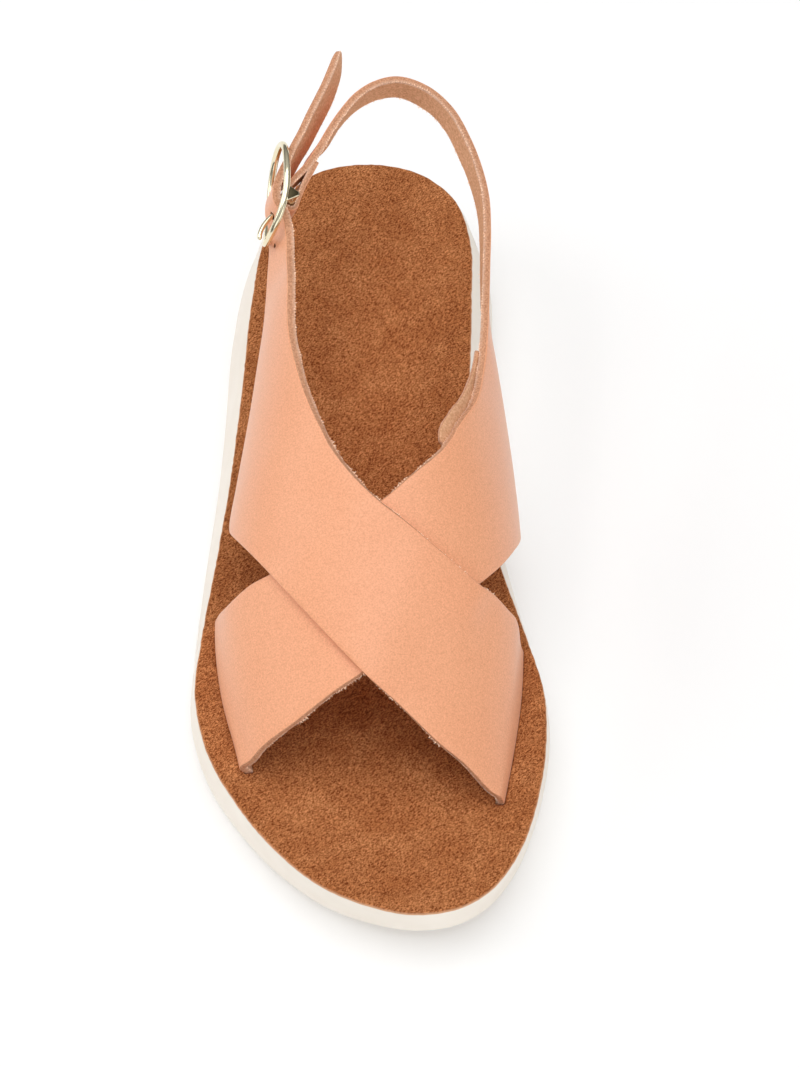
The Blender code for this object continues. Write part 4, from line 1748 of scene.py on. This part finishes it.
@dataclass
class Fibres:
    """Loose fibres that stand out from the straps' raw edges, in tufts."""

    finish: bpy.types.Material
    spacing: float = 0.22
    length: tuple[float, float] = (0.4, 0.95)
    width: float = 0.28  # a bundle of fibres; one alone is too fine to show
    taper: tuple[float, float, float] = (1.0, 0.7, 0.2)  # shares of the width at root, bend and tip
    bend: float = 0.55  # where a fibre bends, as a share of its length
    sunk: float = 0.1  # how deep its root is in the edge
    along: float = 1.0  # spread of its lean along the edge
    stray: float = 0.45  # spread of its lean to all sides
    curl: float = 0.6  # spread of the tip's direction
    tuft: float = 3.5  # distance between tufts
    growth: tuple[float, float] = (0.65, 0.75)  # middle and swing of the fibres' length from tuft to tuft
    growth_limits: tuple[float, float] = (0.2, 1.3)
    bare_ends: tuple[float, float] = (6.0, 1.0)  # lengths of edge without fibres, at the foot and the end
    seed: int = 5

    def blade(self, rng: np.random.Generator, root: Array, away: Array, ahead: Array, growth: float) -> Array:
        """One slim tapered fibre.

        Args:
            rng: where its chances come from.
            root: the point of the edge that it stands on.
            away: direction out of the edge.
            ahead: direction along the edge.
            growth: share of the full length that fibres have here.

        Returns:
            Its two sides at root, bend and tip.
        """
        length = rng.uniform(*self.length) * growth
        lean = unit(away + unit(ahead) * rng.normal(0.0, self.along) + rng.normal(0.0, self.stray, 3))
        curl = unit(lean + rng.normal(0.0, self.curl, 3))
        side = unit(np.cross(lean, rng.normal(0.0, 1.0, 3))) * self.width / 2
        foot = root - lean * self.sunk
        middle = foot + lean * length * self.bend
        tip = middle + curl * length * (1 - self.bend)
        rows = zip((foot, middle, tip), self.taper)
        return np.array([[point - side * share, point + side * share] for point, share in rows])

    def build(self, straps: Sequence[Strap]) -> Object:
        """Builds all the fibres as one mesh.

        Args:
            straps: the straps whose edges fray.

        Returns:
            The piece.
        """
        rng = np.random.default_rng(self.seed)
        surface = Surface()
        middle, swing = self.growth
        first, last = self.bare_ends
        for strap in straps:
            for base, away, ahead in strap.edges:
                run = run_of(base)
                growth = np.clip(middle + swing * wobble(run, self.tuft, self.seed), *self.growth_limits)
                for at in np.arange(first, run[-1] - last, self.spacing):
                    i = int(np.searchsorted(run, at + rng.uniform(0.0, self.spacing))) - 1
                    surface.add_grid(self.blade(rng, base[i], away[i], ahead[i], growth[i]))
        return mount(surface.build("edge_fibres", [self.finish]), "straps")


def look(eye: Sequence[float], target: Sequence[float]) -> Any:
    """Rotation of a camera or light at eye that points at target."""
    return (Vector(target) - Vector(eye)).to_track_quat("-Z", "Y").to_euler()


@dataclass(frozen=True)
class Lamp:
    """A rectangular soft white light aimed at the shoe."""

    name: str
    place_m: tuple[float, float, float]
    size_m: tuple[float, float]
    watts: float
    aim_m: tuple[float, float, float] = (0.0, 0.0, 0.03)

    def build(self) -> None:
        """Hangs the light."""
        light = bpy.data.lights.new(self.name, "AREA")
        light.shape = "RECTANGLE"
        light.size, light.size_y = self.size_m
        light.energy = self.watts
        lamp = bpy.data.objects.new(self.name, light)
        lamp.location = self.place_m
        lamp.rotation_euler = look(self.place_m, self.aim_m)
        bpy.context.scene.collection.objects.link(lamp)


@dataclass
class Studio:
    """White table, soft light mostly from above, and the camera. Lengths are in shoe millimetres."""

    paper: bpy.types.Material
    table_half: float = 1500.0
    table_drop: float = 0.2  # the table lies this far under the sole
    elevation: float = 56.0
    distance: float = 1100.0
    aim: tuple[float, float, float] = (8.0, 120.49, 25.0)
    lens: float = 87.633
    sensor_height: float = 24.0
    clip_start_m: float = 0.05
    sky: tuple[float, float] = (0.19, 0.54)  # brightness at the horizon and overhead
    sky_from: tuple[float, float] = (0.1, 0.9)  # the climb between the two, as the sine of elevation
    lamps: tuple[Lamp, ...] = (
        Lamp("overhead_softbox", (0.0, 0.0, 1.5), (1.5, 1.5), 12.5),
        Lamp("left_softbox", (-1.2, 0.2, 0.7), (0.9, 0.9), 4.5),
        Lamp("front_softbox", (0.0, -1.4, 0.45), (1.2, 0.6), 2.6),
        Lamp("right_softbox", (0.9, -0.9, 0.45), (0.8, 0.6), 2.0),
    )

    def set_table(self) -> None:
        """Lays the white table under the shoe."""
        surface = Surface()
        ends = np.array([-self.table_half, self.table_half])
        grid = np.stack(np.meshgrid(ends, ends, indexing="ij"), axis=-1)
        surface.add_grid(np.concatenate([grid, np.full((2, 2, 1), -self.table_drop)], axis=2))
        surface.build("white_table", [self.paper])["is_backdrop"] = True

    def set_sky(self) -> None:
        """Makes a soft white sky that is brighter overhead."""
        world = bpy.data.worlds.new("studio")
        world.use_nodes = True
        tree = world.node_tree
        where = add_node(tree, "ShaderNodeTexCoord", {})
        parts = add_node(tree, "ShaderNodeSeparateXYZ", {"Vector": where.outputs["Generated"]})
        climb = add_node(
            tree,
            "ShaderNodeMapRange",
            {
                "interpolation_type": "SMOOTHSTEP",
                "Value": parts.outputs["Z"],
                "From Min": self.sky_from[0],
                "From Max": self.sky_from[1],
                "To Min": self.sky[0],
                "To Max": self.sky[1],
            },
        )
        give(tree, tree.nodes["Background"], {"Color": WHITE, "Strength": climb.outputs["Result"]})
        bpy.context.scene.world = world

    def set_camera(self) -> None:
        """Stands the camera straight in front of the toe, looking down, with plain tones."""
        scene = bpy.context.scene
        angle = math.radians(self.elevation)
        back = np.array([0.0, -math.cos(angle), math.sin(angle)]) * self.distance
        eye, target = place(np.array(self.aim) + back), place(self.aim)
        data = bpy.data.cameras.new("camera")
        data.sensor_fit = "VERTICAL"
        data.sensor_height = self.sensor_height
        data.lens = self.lens
        data.clip_start = self.clip_start_m
        camera = bpy.data.objects.new("camera", data)
        camera.location = eye
        camera.rotation_euler = look(eye, target)
        scene.collection.objects.link(camera)
        scene.camera = camera
        scene.view_settings.view_transform = "Standard"
        scene.view_settings.look = "None"
        scene.view_settings.exposure = 0.0
        scene.view_settings.gamma = 1.0

    def build(self) -> None:
        """Sets the table, the lights, the sky and the camera."""
        self.set_table()
        for lamp in self.lamps:
            lamp.build()
        self.set_sky()
        self.set_camera()


def main() -> None:
    """Builds the shoe and its studio in order, and reports each piece."""
    logging.basicConfig(level=logging.INFO, format="%(message)s")
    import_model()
    solid_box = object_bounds()

    # Each finish's class says what the material gives the eye
    grain = GrainLeather("vegetable_tanned_leather", "#FFB88D", 0.45).make()
    edge = RawLeather("raw_leather_edge", "#E6AE8B", 0.85, specular=0.2).make()
    flesh = RawLeather(
        "leather_flesh_side", "#F0BD97", 0.9, specular=0.2, dark="#CD956C", nap_size=0.7
    ).make()
    # The hole's wall is painted dark: painted shade inside the punched hole
    hole = RawLeather("hole_wall_painted_shade", "#86553A", 0.8, specular=0.1, dark="#5E3822").make()
    # Loose fibres with a painted glow in place of the light that shines through them
    loose = LooseFibre("loose_leather_fibre", "#FFE3C8", 0.8, specular=0.2).make()
    suede = Suede("brown_suede", "#A8663F", 0.95, specular=0.15).make()
    rubber = MouldedRubber("cream_rubber", "#FDF5EA", 0.55, specular=0.4).make()
    gold = GoldPlate("pale_gold_plate", "#EDE3C4", 0.08, metallic=1.0).make()
    # Dark gold on the lugs' faces: painted shade for the dark surroundings that they reflect
    shaded_gold = GoldPlate("gold_plate_painted_shade", "#4E4734", 0.4, metallic=1.0, rubbed=0.55).make()
    paper = StudioPaper("white_table", "#F2F2F2", 0.9, specular=0.0).make()

    form = Form()
    buckle = Buckle()
    upper = Upper(form, buckle)
    slots = upper.slot_cutters()
    pieces = [Sole(form, rubber).build(slots), Footbed(form, suede).build(slots)]
    for tool in slots:
        bpy.data.objects.remove(tool)
    pieces += upper.build((grain, edge, flesh, hole))
    pieces.append(Fibres(loose).build(upper.frayed))
    pieces += buckle.build(gold, shaded_gold)
    for piece in pieces:
        LOG.info("%s: %d faces", piece.name, len(piece.data.polygons))
    Studio(paper).build()
    sizes = {"solids": solid_box, "scene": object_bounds()}
    plain = {key: [[float(v) for v in corner] for corner in box] for key, box in sizes.items()}


if __name__ == "__main__":
    main()
